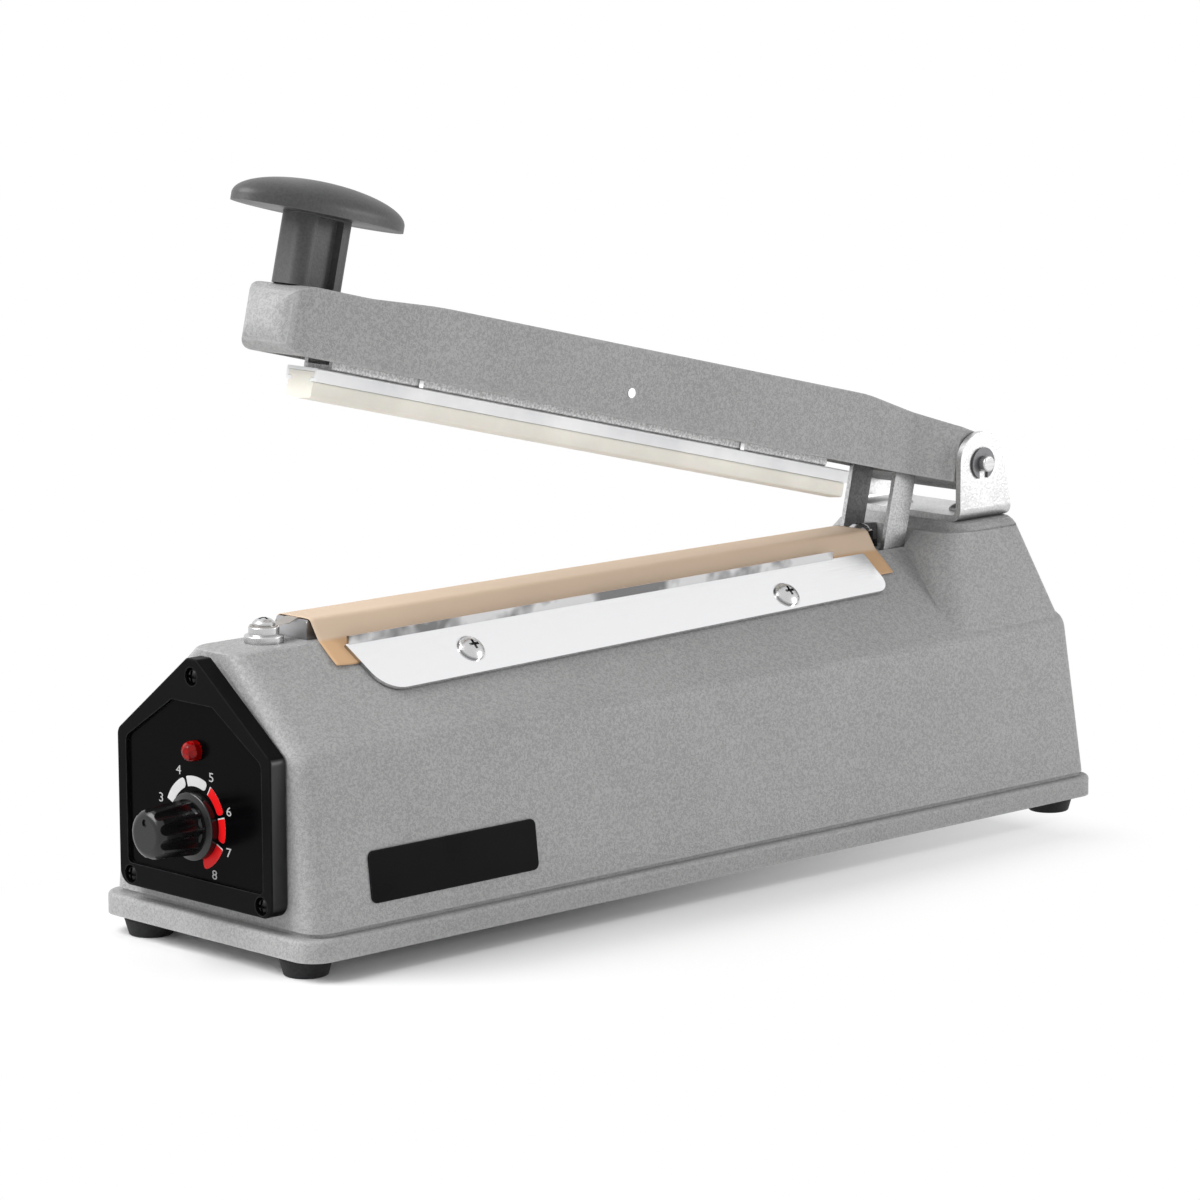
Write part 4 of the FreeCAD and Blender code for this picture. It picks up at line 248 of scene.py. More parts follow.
def use_group(tree, name, **values):
    """Places an effect in a material, with its own values."""
    node = tree.nodes.new("ShaderNodeGroup")
    node.node_tree = bpy.data.node_groups[name]
    for label, value in values.items():
        plug(tree, node.inputs[label.replace("_", " ").capitalize()], value)
    return node


def object_point(tree):
    return add_node(tree, "TexCoord").outputs["Object"]


def noise_value(tree, point, scale, detail, roughness=0.5, distortion=0.0):
    return add_node(tree, "TexNoise", {"Vector": point, "Scale": scale, "Detail": detail,
                                       "Roughness": roughness, "Distortion": distortion}).outputs[0]


def steepness(tree, axis):
    """How squarely the surface faces along an axis of the frame, from 0 to 1."""
    facing = add_node(tree, "SeparateXYZ", {0: add_node(tree, "NewGeometry").outputs["Normal"]})
    return maths(tree, "ABSOLUTE", facing.outputs[axis])


# Effects that several materials share

def make_hammertone():
    """Hammer finish: small islands of enamel between paler, raised worms."""
    tree, start, end = new_group("Hammertone", ("Tone", "Height"), Scale=1300.0)
    point = object_point(tree)
    scale = start.outputs["Scale"]
    coarse = noise_value(tree, point, scale, 1.0, distortion=1.1)
    fine = noise_value(tree, point, maths(tree, "MULTIPLY", scale, 2.1), 1.0, distortion=0.4)
    broad = noise_value(tree, point, 30.0, 2.0)
    worms = stretch(tree, coarse, 0.36, 0.64, smooth=True)
    speck = stretch(tree, fine, 0.3, 0.7)
    both = maths(tree, "MULTIPLY_ADD", worms, 0.7, maths(tree, "MULTIPLY", speck, 0.3))
    cloud = stretch(tree, broad, 0.3, 0.7, -0.08, 0.08)
    tree.links.new(maths(tree, "ADD", both, cloud), end.inputs["Tone"])
    tree.links.new(both, end.inputs["Height"])


def make_grain():
    """Fine moulded or cast grain, with slow changes of tone."""
    tree, start, end = new_group("Surface Grain", ("Tone", "Height", "Cloud"), Scale=1500.0, Spread=0.5)
    point = object_point(tree)
    grain = noise_value(tree, point, start.outputs["Scale"], 2.0, 0.6)
    cloud = noise_value(tree, point, 55.0, 3.0)
    low = maths(tree, "MULTIPLY_ADD", start.outputs["Spread"], -0.5, 0.5)
    high = maths(tree, "MULTIPLY_ADD", start.outputs["Spread"], 0.5, 0.5)
    tree.links.new(stretch(tree, grain, low, high), end.inputs["Tone"])
    tree.links.new(grain, end.inputs["Height"])
    tree.links.new(stretch(tree, cloud, 0.3, 0.7), end.inputs["Cloud"])


def make_edge_wear():
    """Mask of the outer edges, broken up as handling breaks a finish. The materials make these edges
    paler, partly as wear and partly as a painted highlight.
    """
    tree, start, end = new_group("Edge Wear And Highlight", ("Edge",), Radius=0.0008, Break_up=0.4)
    rounded = add_node(tree, "Bevel", {"Radius": start.outputs["Radius"]}, samples=4)
    flat = add_node(tree, "NewGeometry")
    facing = add_node(tree, "VectorMath", {0: rounded.outputs[0], 1: flat.outputs["Normal"]},
                      operation="DOT_PRODUCT")
    turned = stretch(tree, facing.outputs["Value"], 0.995, 0.86)
    broken = stretch(tree, noise_value(tree, object_point(tree), 420.0, 3.0), 0.35, 0.6)
    kept = maths(tree, "MULTIPLY_ADD", maths(tree, "SUBTRACT", broken, 1.0),
                 start.outputs["Break up"], 1.0)
    tree.links.new(maths(tree, "MULTIPLY", turned, kept), end.inputs["Edge"])


def make_polish():
    """Polishing lines along X with a few stray marks."""
    tree, start, end = new_group("Polish Lines", ("Lines", "Marks"), Across=2600.0, Along=60.0)
    point = object_point(tree)
    across = start.outputs["Across"]
    scale = add_node(tree, "CombineXYZ", {0: start.outputs["Along"], 1: across, 2: across})
    drawn = add_node(tree, "VectorMath", {0: point, 1: scale.outputs[0]}, operation="MULTIPLY")
    marks = noise_value(tree, point, 260.0, 5.0, 0.75, 1.2)
    tree.links.new(noise_value(tree, drawn.outputs[0], 1.0, 3.0, 0.7), end.inputs["Lines"])
    tree.links.new(stretch(tree, marks, 0.52, 0.75), end.inputs["Marks"])


def make_weave():
    """Plain weave of fine glass yarn, seen through its coat."""
    tree, start, end = new_group("Plain Weave", ("Thread", "Height"), Pitch=0.0005)
    split = add_node(tree, "SeparateXYZ", {0: object_point(tree)})
    turn = maths(tree, "DIVIDE", math.pi, start.outputs["Pitch"])
    over = maths(tree, "ADD", split.outputs[1], split.outputs[2])
    warp = maths(tree, "SINE", maths(tree, "MULTIPLY", split.outputs[0], turn))
    weft = maths(tree, "SINE", maths(tree, "MULTIPLY", over, turn))
    woven = maths(tree, "MULTIPLY", warp, weft)
    tree.links.new(maths(tree, "ABSOLUTE", woven), end.inputs["Thread"])
    tree.links.new(maths(tree, "MULTIPLY_ADD", woven, 0.5, 0.5), end.inputs["Height"])


def make_creases():
    """Mask of inner corners and of the line round a seated part, where the materials paint shade."""
    tree, start, end = new_group("Painted Crease Shade", ("Crease",), Reach=0.002)
    near = add_node(tree, "AmbientOcclusion", {"Distance": start.outputs["Reach"]}, samples=8)
    tree.links.new(stretch(tree, near.outputs["AO"], 0.85, 0.35), end.inputs["Crease"])


def make_effects():
    if "Hammertone" in bpy.data.node_groups:
        return
    for make in (make_hammertone, make_grain, make_edge_wear, make_polish, make_weave, make_creases):
        make()


# Materials

def new_material(name):
    """An empty material with its shader and the tree it stands in."""
    finish = bpy.data.materials.new(name)
    finish.use_nodes = True
    tree = finish.node_tree
    tree.nodes.clear()
    out = tree.nodes.new("ShaderNodeOutputMaterial")
    shader = tree.nodes.new("ShaderNodeBsdfPrincipled")
    tree.links.new(shader.outputs[0], out.inputs[0])
    return finish, tree, shader


def feed(tree, shader, **sources):
    """Links or sets the shader's inputs, named with underscores."""
    for label, source in sources.items():
        plug(tree, shader.inputs[label.replace("_", " ").title().replace("Ior", "IOR")], source)


def bump(tree, height, depth, strength=1.0):
    node = add_node(tree, "Bump", {"Height": height, "Distance": depth, "Strength": strength})
    return node.outputs[0]


def hammer_paint(rgb):
    """Hammer finish enamel, paler along its edges, partly from wear and partly as a painted highlight."""
    finish, tree, shader = new_material("hammer_paint")
    tone = use_group(tree, "Hammertone", scale=1300.0)
    edge = use_group(tree, "Edge Wear And Highlight", radius=0.0014, break_up=0.35)
    base = shades(tree, tone.outputs["Tone"], rgb, 0.81, 1.17)
    # Paler edges: partly wear, partly a painted highlight.
    worn_and_lit = maths(tree, "MULTIPLY", edge.outputs["Edge"], 0.3)
    feed(tree, shader,
         base_color=mix_colour(tree, worn_and_lit, base, tint(rgb, 1.6)),
         roughness=stretch(tree, tone.outputs["Tone"], 0.0, 1.0, 0.58, 0.42),
         specular_ior_level=0.35,
         normal=bump(tree, tone.outputs["Height"], 0.0001, 0.6))
    return finish


def moulded(name, rgb, roughness, grain=1700.0, depth=0.00003, edge_wear_and_highlight_share=0.35, pale=2.2, shine=0.5):
    """Moulded plastic or rubber with a fine grain and paler edges, which are partly wear and partly a
    painted highlight.
    """
    finish, tree, shader = new_material(name)
    skin = use_group(tree, "Surface Grain", scale=grain, spread=0.35)
    edge = use_group(tree, "Edge Wear And Highlight", radius=0.0006, break_up=0.5)
    base = shades(tree, skin.outputs["Tone"], rgb, 0.85, 1.2)
    # Paler edges: partly wear, partly a painted highlight.
    worn_and_lit = maths(tree, "MULTIPLY", edge.outputs["Edge"], edge_wear_and_highlight_share)
    feed(tree, shader,
         base_color=mix_colour(tree, worn_and_lit, base, tint(rgb, pale)),
         roughness=stretch(tree, skin.outputs["Cloud"], 0.0, 1.0, roughness - 0.05, roughness + 0.07),
         specular_ior_level=shine,
         normal=bump(tree, skin.outputs["Height"], depth))
    return finish


def panel_plastic(rgb):
    """Black moulding, matt in front and polished on the sides that the mould draws along."""
    finish, tree, shader = new_material("panel_moulding")
    skin = use_group(tree, "Surface Grain", scale=1700.0, spread=0.35)
    edge = use_group(tree, "Edge Wear And Highlight", radius=0.0005, break_up=0.5)
    base = shades(tree, skin.outputs["Tone"], rgb, 0.85, 1.2)
    # The rim's edges turn far paler than the black: partly wear and partly a painted highlight along its
    # bevels.
    worn_and_lit = maths(tree, "MULTIPLY", edge.outputs["Edge"], 0.6)
    feed(tree, shader,
         base_color=mix_colour(tree, worn_and_lit, base, tint(rgb, 26.0)),
         roughness=stretch(tree, skin.outputs["Cloud"], 0.0, 1.0, 0.42, 0.54),
         specular_ior_level=0.05, coat_roughness=0.34,
         coat_weight=stretch(tree, steepness(tree, 1), 0.82, 0.97),
         normal=bump(tree, skin.outputs["Height"], 0.00002))
    return finish


def glossy(name, rgb, roughness=0.12, coat=0.6, shine=0.5):
    """Smooth plastic with a clear shine and faint handling marks."""
    finish, tree, shader = new_material(name)
    skin = use_group(tree, "Surface Grain", scale=300.0, spread=0.6)
    rough = stretch(tree, skin.outputs["Tone"], 0.3, 1.0, roughness, roughness + 0.09)
    feed(tree, shader,
         base_color=shades(tree, skin.outputs["Cloud"], rgb, 0.9, 1.15),
         roughness=rough, coat_weight=coat, coat_roughness=0.08, specular_ior_level=shine,
         normal=bump(tree, skin.outputs["Height"], 0.000006))
    return finish


def lamp_lens(rgb):
    """Red lens with moulded facets."""
    finish, tree, shader = new_material("red_lens")
    split = add_node(tree, "TexVoronoi", {"Vector": object_point(tree), "Scale": 520.0})
    facets = stretch(tree, split.outputs["Distance"], 0.0, 0.7)
    feed(tree, shader,
         base_color=shades(tree, facets, rgb, 1.5, 0.55),
         roughness=0.1, specular_ior_level=0.22,
         normal=bump(tree, facets, 0.0004, 0.8))
    return finish


def metal(name, rgb, roughness, across=2600.0, spread=0.12, edge_wear_and_highlight_share=0.15, depth=0.000004,
          marked=0.5, crease_shade_share=0.5, reach=0.0015, painted_dark_reflection=0.0):
    """Drawn or polished metal with fine lines and stray marks, paler edges that are partly wear and
    partly a painted highlight, and painted shade in its creases.

    The last argument sets how far steep faces darken in patches: a painted dark reflection, as a bright
    lip shows beside a dark room.
    """
    finish, tree, shader = new_material(name)
    lines = use_group(tree, "Polish Lines", across=across, along=70.0)
    edge = use_group(tree, "Edge Wear And Highlight", radius=0.0004, break_up=0.3)
    crease_shade = use_group(tree, "Painted Crease Shade", reach=reach)
    marks = maths(tree, "MULTIPLY", lines.outputs["Marks"], marked)
    base = mix_colour(tree, marks, tint(rgb), tint(rgb, 0.88))
    # Paler edges: partly wear, partly a painted highlight.
    worn_and_lit = maths(tree, "MULTIPLY", edge.outputs["Edge"], edge_wear_and_highlight_share)
    bright = mix_colour(tree, worn_and_lit, base, tint(rgb, 1.3))
    streak = stretch(tree, lines.outputs["Lines"], 0.3, 0.7, roughness, roughness + spread)
    # Steep faces darken in patches: a painted dark reflection.
    if painted_dark_reflection:
        lip = stretch(tree, steepness(tree, 2), 0.12, 0.3, painted_dark_reflection, 0.0)
        patches = use_group(tree, "Surface Grain", scale=60.0, spread=0.8)
        dark_reflection_patches = stretch(tree, patches.outputs["Cloud"], 0.35, 0.6, 0.35, 1.0)
        bright = mix_colour(tree, maths(tree, "MULTIPLY", lip, dark_reflection_patches), bright, tint(rgb, 0.1))
    # Creases are darkened: painted shade.
    painted_crease_shade = maths(tree, "MULTIPLY", crease_shade.outputs["Crease"], crease_shade_share)
    feed(tree, shader,
         base_color=mix_colour(tree, painted_crease_shade, bright, tint(rgb, 0.12)),
         metallic=1.0, roughness=maths(tree, "MULTIPLY_ADD", marks, 0.08, streak),
         normal=bump(tree, lines.outputs["Lines"], depth, 0.6))
    return finish


def cast_metal(name, rgb, roughness, grain, contrast, metallic=0.7, crease_shade_share=0.4):
    """Blasted or plated metal with bright specks and painted shade in its creases."""
    finish, tree, shader = new_material(name)
    skin = use_group(tree, "Surface Grain", scale=grain, spread=0.3)
    crease_shade = use_group(tree, "Painted Crease Shade", reach=0.0015)
    base = shades(tree, skin.outputs["Tone"], rgb, 1.0 - contrast, 1.0 + contrast)
    # Creases are darkened: painted shade.
    painted_crease_shade = maths(tree, "MULTIPLY", crease_shade.outputs["Crease"], crease_shade_share)
    feed(tree, shader,
         base_color=mix_colour(tree, painted_crease_shade, base, tint(rgb, 0.15)),
         metallic=metallic,
         roughness=stretch(tree, skin.outputs["Cloud"], 0.0, 1.0, roughness, roughness + 0.12),
         normal=bump(tree, skin.outputs["Height"], 0.00005))
    return finish


def glass_cloth(rgb, ridge_sheen_rgb, brink):
    """Coated glass cloth, paler on the ridge above the brink: a painted sheen."""
    finish, tree, shader = new_material("glass_cloth")
    weave = use_group(tree, "Plain Weave", pitch=0.0004)
    skin = use_group(tree, "Surface Grain", scale=420.0, spread=0.7)
    height = add_node(tree, "SeparateXYZ", {0: object_point(tree)}).outputs[2]
    # The ridge gets a paler colour: a painted sheen.
    ridge = stretch(tree, height, brink - 0.0006, brink + 0.0006, smooth=True)
    plain = mix_colour(tree, ridge, tint(rgb), tint(ridge_sheen_rgb))
    shaded = mix_colour(tree, ridge, tint(rgb, 0.74), tint(ridge_sheen_rgb, 0.74))
    woven = stretch(tree, weave.outputs["Thread"], 0.0, 1.0, 0.0, 0.2)
    smoky = maths(tree, "MULTIPLY", skin.outputs["Cloud"], 0.1)
    base = mix_colour(tree, maths(tree, "ADD", woven, smoky), plain, shaded)
    feed(tree, shader,
         base_color=base, roughness=stretch(tree, skin.outputs["Tone"], 0.0, 1.0, 0.52, 0.62),
         specular_ior_level=0.35,
         normal=bump(tree, weave.outputs["Height"], 0.00002, 0.6))
    return finish


def soft_rubber(name, rgb):
    """Soft, slightly cloudy rubber or tape."""
    finish, tree, shader = new_material(name)
    skin = use_group(tree, "Surface Grain", scale=900.0, spread=0.5)
    base = shades(tree, skin.outputs["Cloud"], rgb, 0.93, 1.06)
    feed(tree, shader,
         base_color=base, roughness=stretch(tree, skin.outputs["Tone"], 0.0, 1.0, 0.46, 0.62),
         subsurface_weight=0.12, subsurface_scale=0.002,
         normal=bump(tree, skin.outputs["Height"], 0.00003))
    return finish


def plain_print(name, rgb, roughness=0.38):
    """Screen-printed ink."""
    finish, tree, shader = new_material(name)
    skin = use_group(tree, "Surface Grain", scale=2400.0, spread=0.5)
    feed(tree, shader,
         base_color=shades(tree, skin.outputs["Tone"], rgb, 0.96, 1.04),
         roughness=stretch(tree, skin.outputs["Cloud"], 0.0, 1.0, roughness, roughness + 0.08),
         specular_ior_level=0.15)
    return finish


def board_resist(rgb):
    """Solder resist over copper tracks."""
    finish, tree, shader = new_material("board_green")
    tracks = add_node(tree, "TexVoronoi", {"Vector": object_point(tree), "Scale": 140.0},
                      distance="MANHATTAN")
    lane = stretch(tree, tracks.outputs["Distance"], 0.35, 0.4)
    feed(tree, shader,
         base_color=shades(tree, lane, rgb, 0.7, 1.5),
         roughness=0.35, coat_weight=0.3, normal=bump(tree, lane, 0.00004))
    return finish


def wear(piece, finish):
    """Gives a piece its one finish."""
    piece.data.materials.clear()
    piece.data.materials.append(finish)


def dress(finish, *names):
    """Gives CAD nodes their finish."""
    for name in names:
        wear(NODES[name], finish)


# Mesh helpers

def finished_mesh(name, work, smooth=False):
    """The mesh of a closed bmesh, with its faces turned outward."""
    bmesh.ops.recalc_face_normals(work, faces=work.faces)
    for face in work.faces:
        face.smooth = smooth
    mesh = bpy.data.meshes.new(name)
    work.to_mesh(mesh)
    work.free()
    return mesh


def join_lines(work, first, second):
    """Four-sided faces between two lines of as many vertices."""
    for place in range(len(first) - 1):
        work.faces.new((first[place], second[place], second[place + 1], first[place + 1]))


def closed_loft(name, rings):
    """A solid through rings of points, closed at both ends."""
    work = bmesh.new()
    loops = [[work.verts.new(point) for point in ring] for ring in rings]
    work.faces.new(loops[0])
    work.faces.new(loops[-1])
    for loop, after in zip(loops, loops[1:]):
        join_lines(work, loop + loop[:1], after + after[:1])
    return finished_mesh(name, work)


def new_piece(name, mesh, body, finish):
    """A finished mesh as a piece that rides on a body."""
    piece = bpy.data.objects.new(name, mesh)
    bpy.context.scene.collection.objects.link(piece)
    wear(piece, finish)
    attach(piece, body)
    return piece


def rounded_corners(corners, steps=6):
    """A closed outline (across, up, radius) with its corners rounded off."""
    points = []
    count = len(corners)
    for place, (across, up, radius) in enumerate(corners):
        here = Vector((across, up))
        before = Vector(corners[place - 1][:2])
        after = Vector(corners[(place + 1) % count][:2])
        to_before = (before - here).normalized()
        to_after = (after - here).normalized()
        half = to_before.angle(to_after) / 2
        reach = radius / math.tan(half)
        centre = here + (to_before + to_after).normalized() * (radius / math.sin(half))
        start = here + to_before * reach - centre
        end = here + to_after * reach - centre
        turn = start.angle_signed(end)
        for step in range(steps + 1):
            angle = -turn * step / steps
            points.append((centre.x + start.x * math.cos(angle) - start.y * math.sin(angle),
                           centre.y + start.x * math.sin(angle) + start.y * math.cos(angle)))
    return points


def facing_front(curve, x_back, thickness, across=0.0, up=0.0, widened=None):
    """A flat curve as a mesh that faces -X, with its back at x_back. A widened one is centred."""
    holder = bpy.data.objects.new(curve.name, curve)
    mesh = bpy.data.meshes.new_from_object(holder)
    bpy.data.objects.remove(holder)
    bpy.data.curves.remove(curve)
    heights = [vert.co.y for vert in mesh.vertices]
    middle = (max(heights) + min(heights)) / 2 if widened else 0.0
    wide = widened or 1.0
    for vert in mesh.vertices:
        right, rise, out = vert.co
        vert.co = (x_back - thickness / 2 - out, -(right * wide + across), rise - middle + up)
    return mesh


def flat_mesh(name, outlines, x_back, thickness):
    """Flat shapes that face -X. An outline (right, up) inside another one is a hole."""
    curve = bpy.data.curves.new(name, "CURVE")
    curve.dimensions = "2D"
    curve.fill_mode = "BOTH"
    curve.extrude = thickness / 2
    for outline in outlines:
        spline = curve.splines.new("POLY")
        spline.points.add(len(outline) - 1)
        for point, (right, up) in zip(spline.points, outline):
            point.co = (right, up, 0.0, 1.0)
        spline.use_cyclic_u = True
    return facing_front(curve, x_back, thickness)


def circle(across, up, radius, steps=48):
    turns = [2 * math.pi * step / steps for step in range(steps)]
    return [(across + radius * math.cos(turn), up + radius * math.sin(turn)) for turn in turns]


def rounded_path(corners, radius, step):
    """Points a step apart along a path of straight runs, with its corners rounded."""
    line = [Vector(corners[0])]
    for before, here, after in zip(corners, corners[1:], corners[2:]):
        here = Vector(here)
        back = (Vector(before) - here).normalized() * radius
        ahead = (Vector(after) - here).normalized() * radius
        for share in (0.0, 0.2, 0.4, 0.6, 0.8, 1.0):
            line.append(here + back * (1 - share) ** 2 + ahead * share ** 2)
    line.append(Vector(corners[-1]))
    points = [line[0]]
    for start, end in zip(line, line[1:]):
        parts = max(1, round((end - start).length / step))
        points += [start.lerp(end, part / parts) for part in range(1, parts + 1)]
    return points


# Dial: angles are in degrees, clockwise from the top

DIGITS = ((1, -118.0), (2, -95.0), (3, -71.0), (4, -26.0), (5, 28.0), (6, 70.0), (7, 113.5),
          (8, 149.0))
# where a segment starts and ends, and whether it is red
SEGMENTS = ((-66.0, -20.5, False), (-16.0, 25.0, False), (31.5, 71.0, True), (75.0, 109.0, True),
            (115.5, 163.0, True))
RED_FRINGE = math.radians(1.6)
CORNER_STEPS = 6
ARC_STEPS = 16
CAP_HEIGHT = 0.7


def ring_segment(centre, inner, outer, start, end, start_corner=0.0002, end_corner=0.0011):
    """A band between two angles, nearly square where it starts and rounded where it ends."""
    across, height = centre
    turns = [math.pi / 2 * step / CORNER_STEPS for step in range(CORNER_STEPS + 1)]
    points = []

    def add(radius, turn):
        points.append((across + radius * math.sin(turn), height + radius * math.cos(turn)))

    def add_corner(radius, inward, edge, onward, corner, steps):
        for step in steps:
            add(radius + inward * corner * (1 - math.cos(step)),
                edge - onward * corner * (1 - math.sin(step)) / radius)

    def add_arc(radius, first, last):
        for step in range(1, ARC_STEPS):
            add(radius, first + (last - first) * step / ARC_STEPS)

    add_corner(outer, -1, end, 1, end_corner, turns)
    add_corner(inner, 1, end, 1, end_corner, turns[::-1])
    add_arc(inner, end - end_corner / inner, start + start_corner / inner)
    add_corner(inner, 1, start, -1, start_corner, turns)
    add_corner(outer, -1, start, -1, start_corner, turns[::-1])
    add_arc(outer, start + start_corner / outer, end - end_corner / outer)
    return points


def digit_mesh(digit, size, x_back, thickness, across, up):
    """A digit as a mesh that faces -X, centred on a point."""
    curve = bpy.data.curves.new("digit", "FONT")
    curve.body = str(digit)
    curve.size = size / CAP_HEIGHT
    curve.extrude = thickness / 2
    curve.align_x = "CENTER"
    return facing_front(curve, x_back, thickness, across, up, widened=1.3)


# Cover cloth

CLOTH_ROWS = 150
CLOTH_FOLD = 0.0012
CLOTH_STEP = 0.0006
LOOSE_END = 0.006
LOOSE_FLAP = 0.007


def cloth_mesh(name, sizes):
    """The cover cloth: folded over the bed, down to the ridge's brinks and along both roof slopes."""
    low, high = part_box("cover_sheet")
    half = sizes.cloth_thickness / 2
    top = high.z - 2 * half
    corners = [(0.0, top), (sizes.bed_half, top), (sizes.brink_half, sizes.brink_height),
               (high.y - half, low.z + 2 * half)]
    side = rounded_path(corners, CLOTH_FOLD, CLOTH_STEP)
    path = [Vector((-point.x, point.y)) for point in reversed(side[1:])] + side
    work = bmesh.new()
    grid = []
    for row in range(CLOTH_ROWS + 1):
        along = low.x + (high.x - low.x) * row / CLOTH_ROWS
        to_end = min(along - low.x, high.x - along)
        line = []
        for place, point in enumerate(path):
            ahead = path[min(place + 1, len(path) - 1)] - path[max(place - 1, 0)]
            normal = Vector((-ahead.y, ahead.x)).normalized()
            flank = abs(point.x)
            wave = noise.noise(Vector((along * 90.0, point.x * 260.0, 3.0)))
            shift = -sizes.cloth_slack * 0.5 * (1.0 + wave) * (flank < sizes.bed_half)
            loose = (max(0.0, 1.0 - to_end / LOOSE_END)
                     * max(0.0, (flank - sizes.brink_half) / LOOSE_FLAP))
            shift += sizes.cloth_lift * loose * (1.0 + 0.5 * wave)
            line.append((along, point.x + normal.x * shift, point.y + normal.y * shift, normal))
        grid.append(line)
    upper, lower = [[[work.verts.new((along, across + normal.x * out, up + normal.y * out))
                      for along, across, up, normal in line] for line in grid]
                    for out in (half, -half)]
    for layer in (upper, lower):
        for line, after in zip(layer, layer[1:]):
            join_lines(work, line, after)
    for place in (0, -1):
        join_lines(work, upper[place], lower[place])
        join_lines(work, [line[place] for line in upper], [line[place] for line in lower])
    return finished_mesh(name, work, smooth=True)


# Head of the arm

def arm_axes(sizes):
    """The hinge pin's middle, and the directions along and above the arm."""
    low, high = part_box("hinge_pin")
    return ((low + high) / 2, Vector((math.cos(sizes.arm_lean), 0.0, -math.sin(sizes.arm_lean))),
            Vector((math.sin(sizes.arm_lean), 0.0, math.cos(sizes.arm_lean))))


HEAD_OVERLAP = 0.00015
SIDE_OVERLAP = 0.00005
SINK = 0.00002
FOOT_STEP = 0.0008
FOOT_REACH = 0.0015


def head_foot(name, sizes):
    """The rounded foot of the arm's head, which closes the channel behind the end wall."""
    pin, along, above = arm_axes(sizes)
    rim = sizes.head_round
    across = sizes.arm_half - sizes.side_wall + SIDE_OVERLAP
    first = rim - sizes.head_wall + HEAD_OVERLAP
    rings = []
    for back in [first - FOOT_STEP * step for step in range(8)] + [0.0, -FOOT_REACH]:
        rise = math.sqrt(rim * rim - max(back, 0.0) ** 2)
        low = -sizes.arm_foot + rim - rise + SINK
        high = low + sizes.foot_wall
        half = min(across, sizes.arm_half - rim + rise - SINK)
        rings.append([pin + along * (rim - back - sizes.arm_reach) + above * height
                      + Vector((0.0, side, 0.0))
                      for side, height in ((-half, low), (half, low), (half, high), (-half, high))])
    return closed_loft(name, rings)


def head_corner(name, side, sizes):
    """The rounded inner corner of the arm's head, between the end wall and a side wall."""
    pin, along, above = arm_axes(sizes)
    half, rim = sizes.arm_half, sizes.head_round
    roof, wall, fold = sizes.head_wall, sizes.side_wall, sizes.inner_round
    to_side = math.acos((rim - wall) / rim)
    to_end = math.asin((rim - roof) / rim)
    plan = []
    for step in range(5):
        turn = to_side + (to_end - to_side) * step / 4
        plan.append((rim - rim * math.sin(turn), half - rim + rim * math.cos(turn)))
    for step in range(7):
        turn = math.pi / 2 * step / 6
        plan.append((roof + fold - fold * math.cos(turn), half - wall - fold + fold * math.sin(turn)))
    return closed_loft(name, [[pin + along * (back - sizes.arm_reach) + above * height
                               + Vector((0.0, side * out, 0.0)) for back, out in plan]
                              for height in (sizes.corner_foot, sizes.corner_top)])


class SEALER_OT_castings(bpy.types.Operator):
    """Paint the base casting and the arm, and close the corners and the foot of its head"""

    bl_idname = "sealer.castings"
    bl_label = "Painted castings"

    def execute(self, context):
        make_effects()
        sizes = context.scene.sealer_sizes
        paint = hammer_paint(context.scene.sealer_colours.paint)
        dress(paint, "housing", "arm")
        for name, side in (("arm_head_corner_near", -1.0), ("arm_head_corner_far", 1.0)):
            new_piece(name, head_corner(name, side, sizes), "arm", paint)
        new_piece("arm_head_foot", head_foot("arm_head_foot", sizes), "arm", paint)
        return {"FINISHED"}


class SEALER_OT_mouldings(bpy.types.Operator):
    """Finish the panel, the handle, the inlet, the feet and the other mouldings"""

    bl_idname = "sealer.mouldings"
    bl_label = "Mouldings and rubber"

    def execute(self, context):
        make_effects()
        colours = context.scene.sealer_colours
        # The mouldings' paler edges are partly wear and partly a painted highlight.
        dress(panel_plastic(colours.moulding), "control_panel", "rear_terminal", "microswitch",
              "board_relay")
        dress(moulded("handle_moulding", colours.handle, 0.42, 1300.0, 0.00005, 0.5, shine=0.45),
              "handle")
        dress(moulded("foot_rubber", colours.rubber, 0.62, 1100.0, 0.00005, 0.2, shine=0.2),
              "foot_front_near", "foot_front_far", "foot_rear_near", "foot_rear_far", "cord_inlet")
        dress(moulded("label_film", colours.label, 0.3, 2200.0, 0.00001, 0.4, pale=14.0, shine=0.05),
              "side_label", "board_capacitor")
        dress(glossy("knob_plastic", colours.knob, 0.2, 0.0, 0.5), "timer_knob")
        dress(lamp_lens(colours.lens), "indicator_lamp", "switch_plunger")
        return {"FINISHED"}


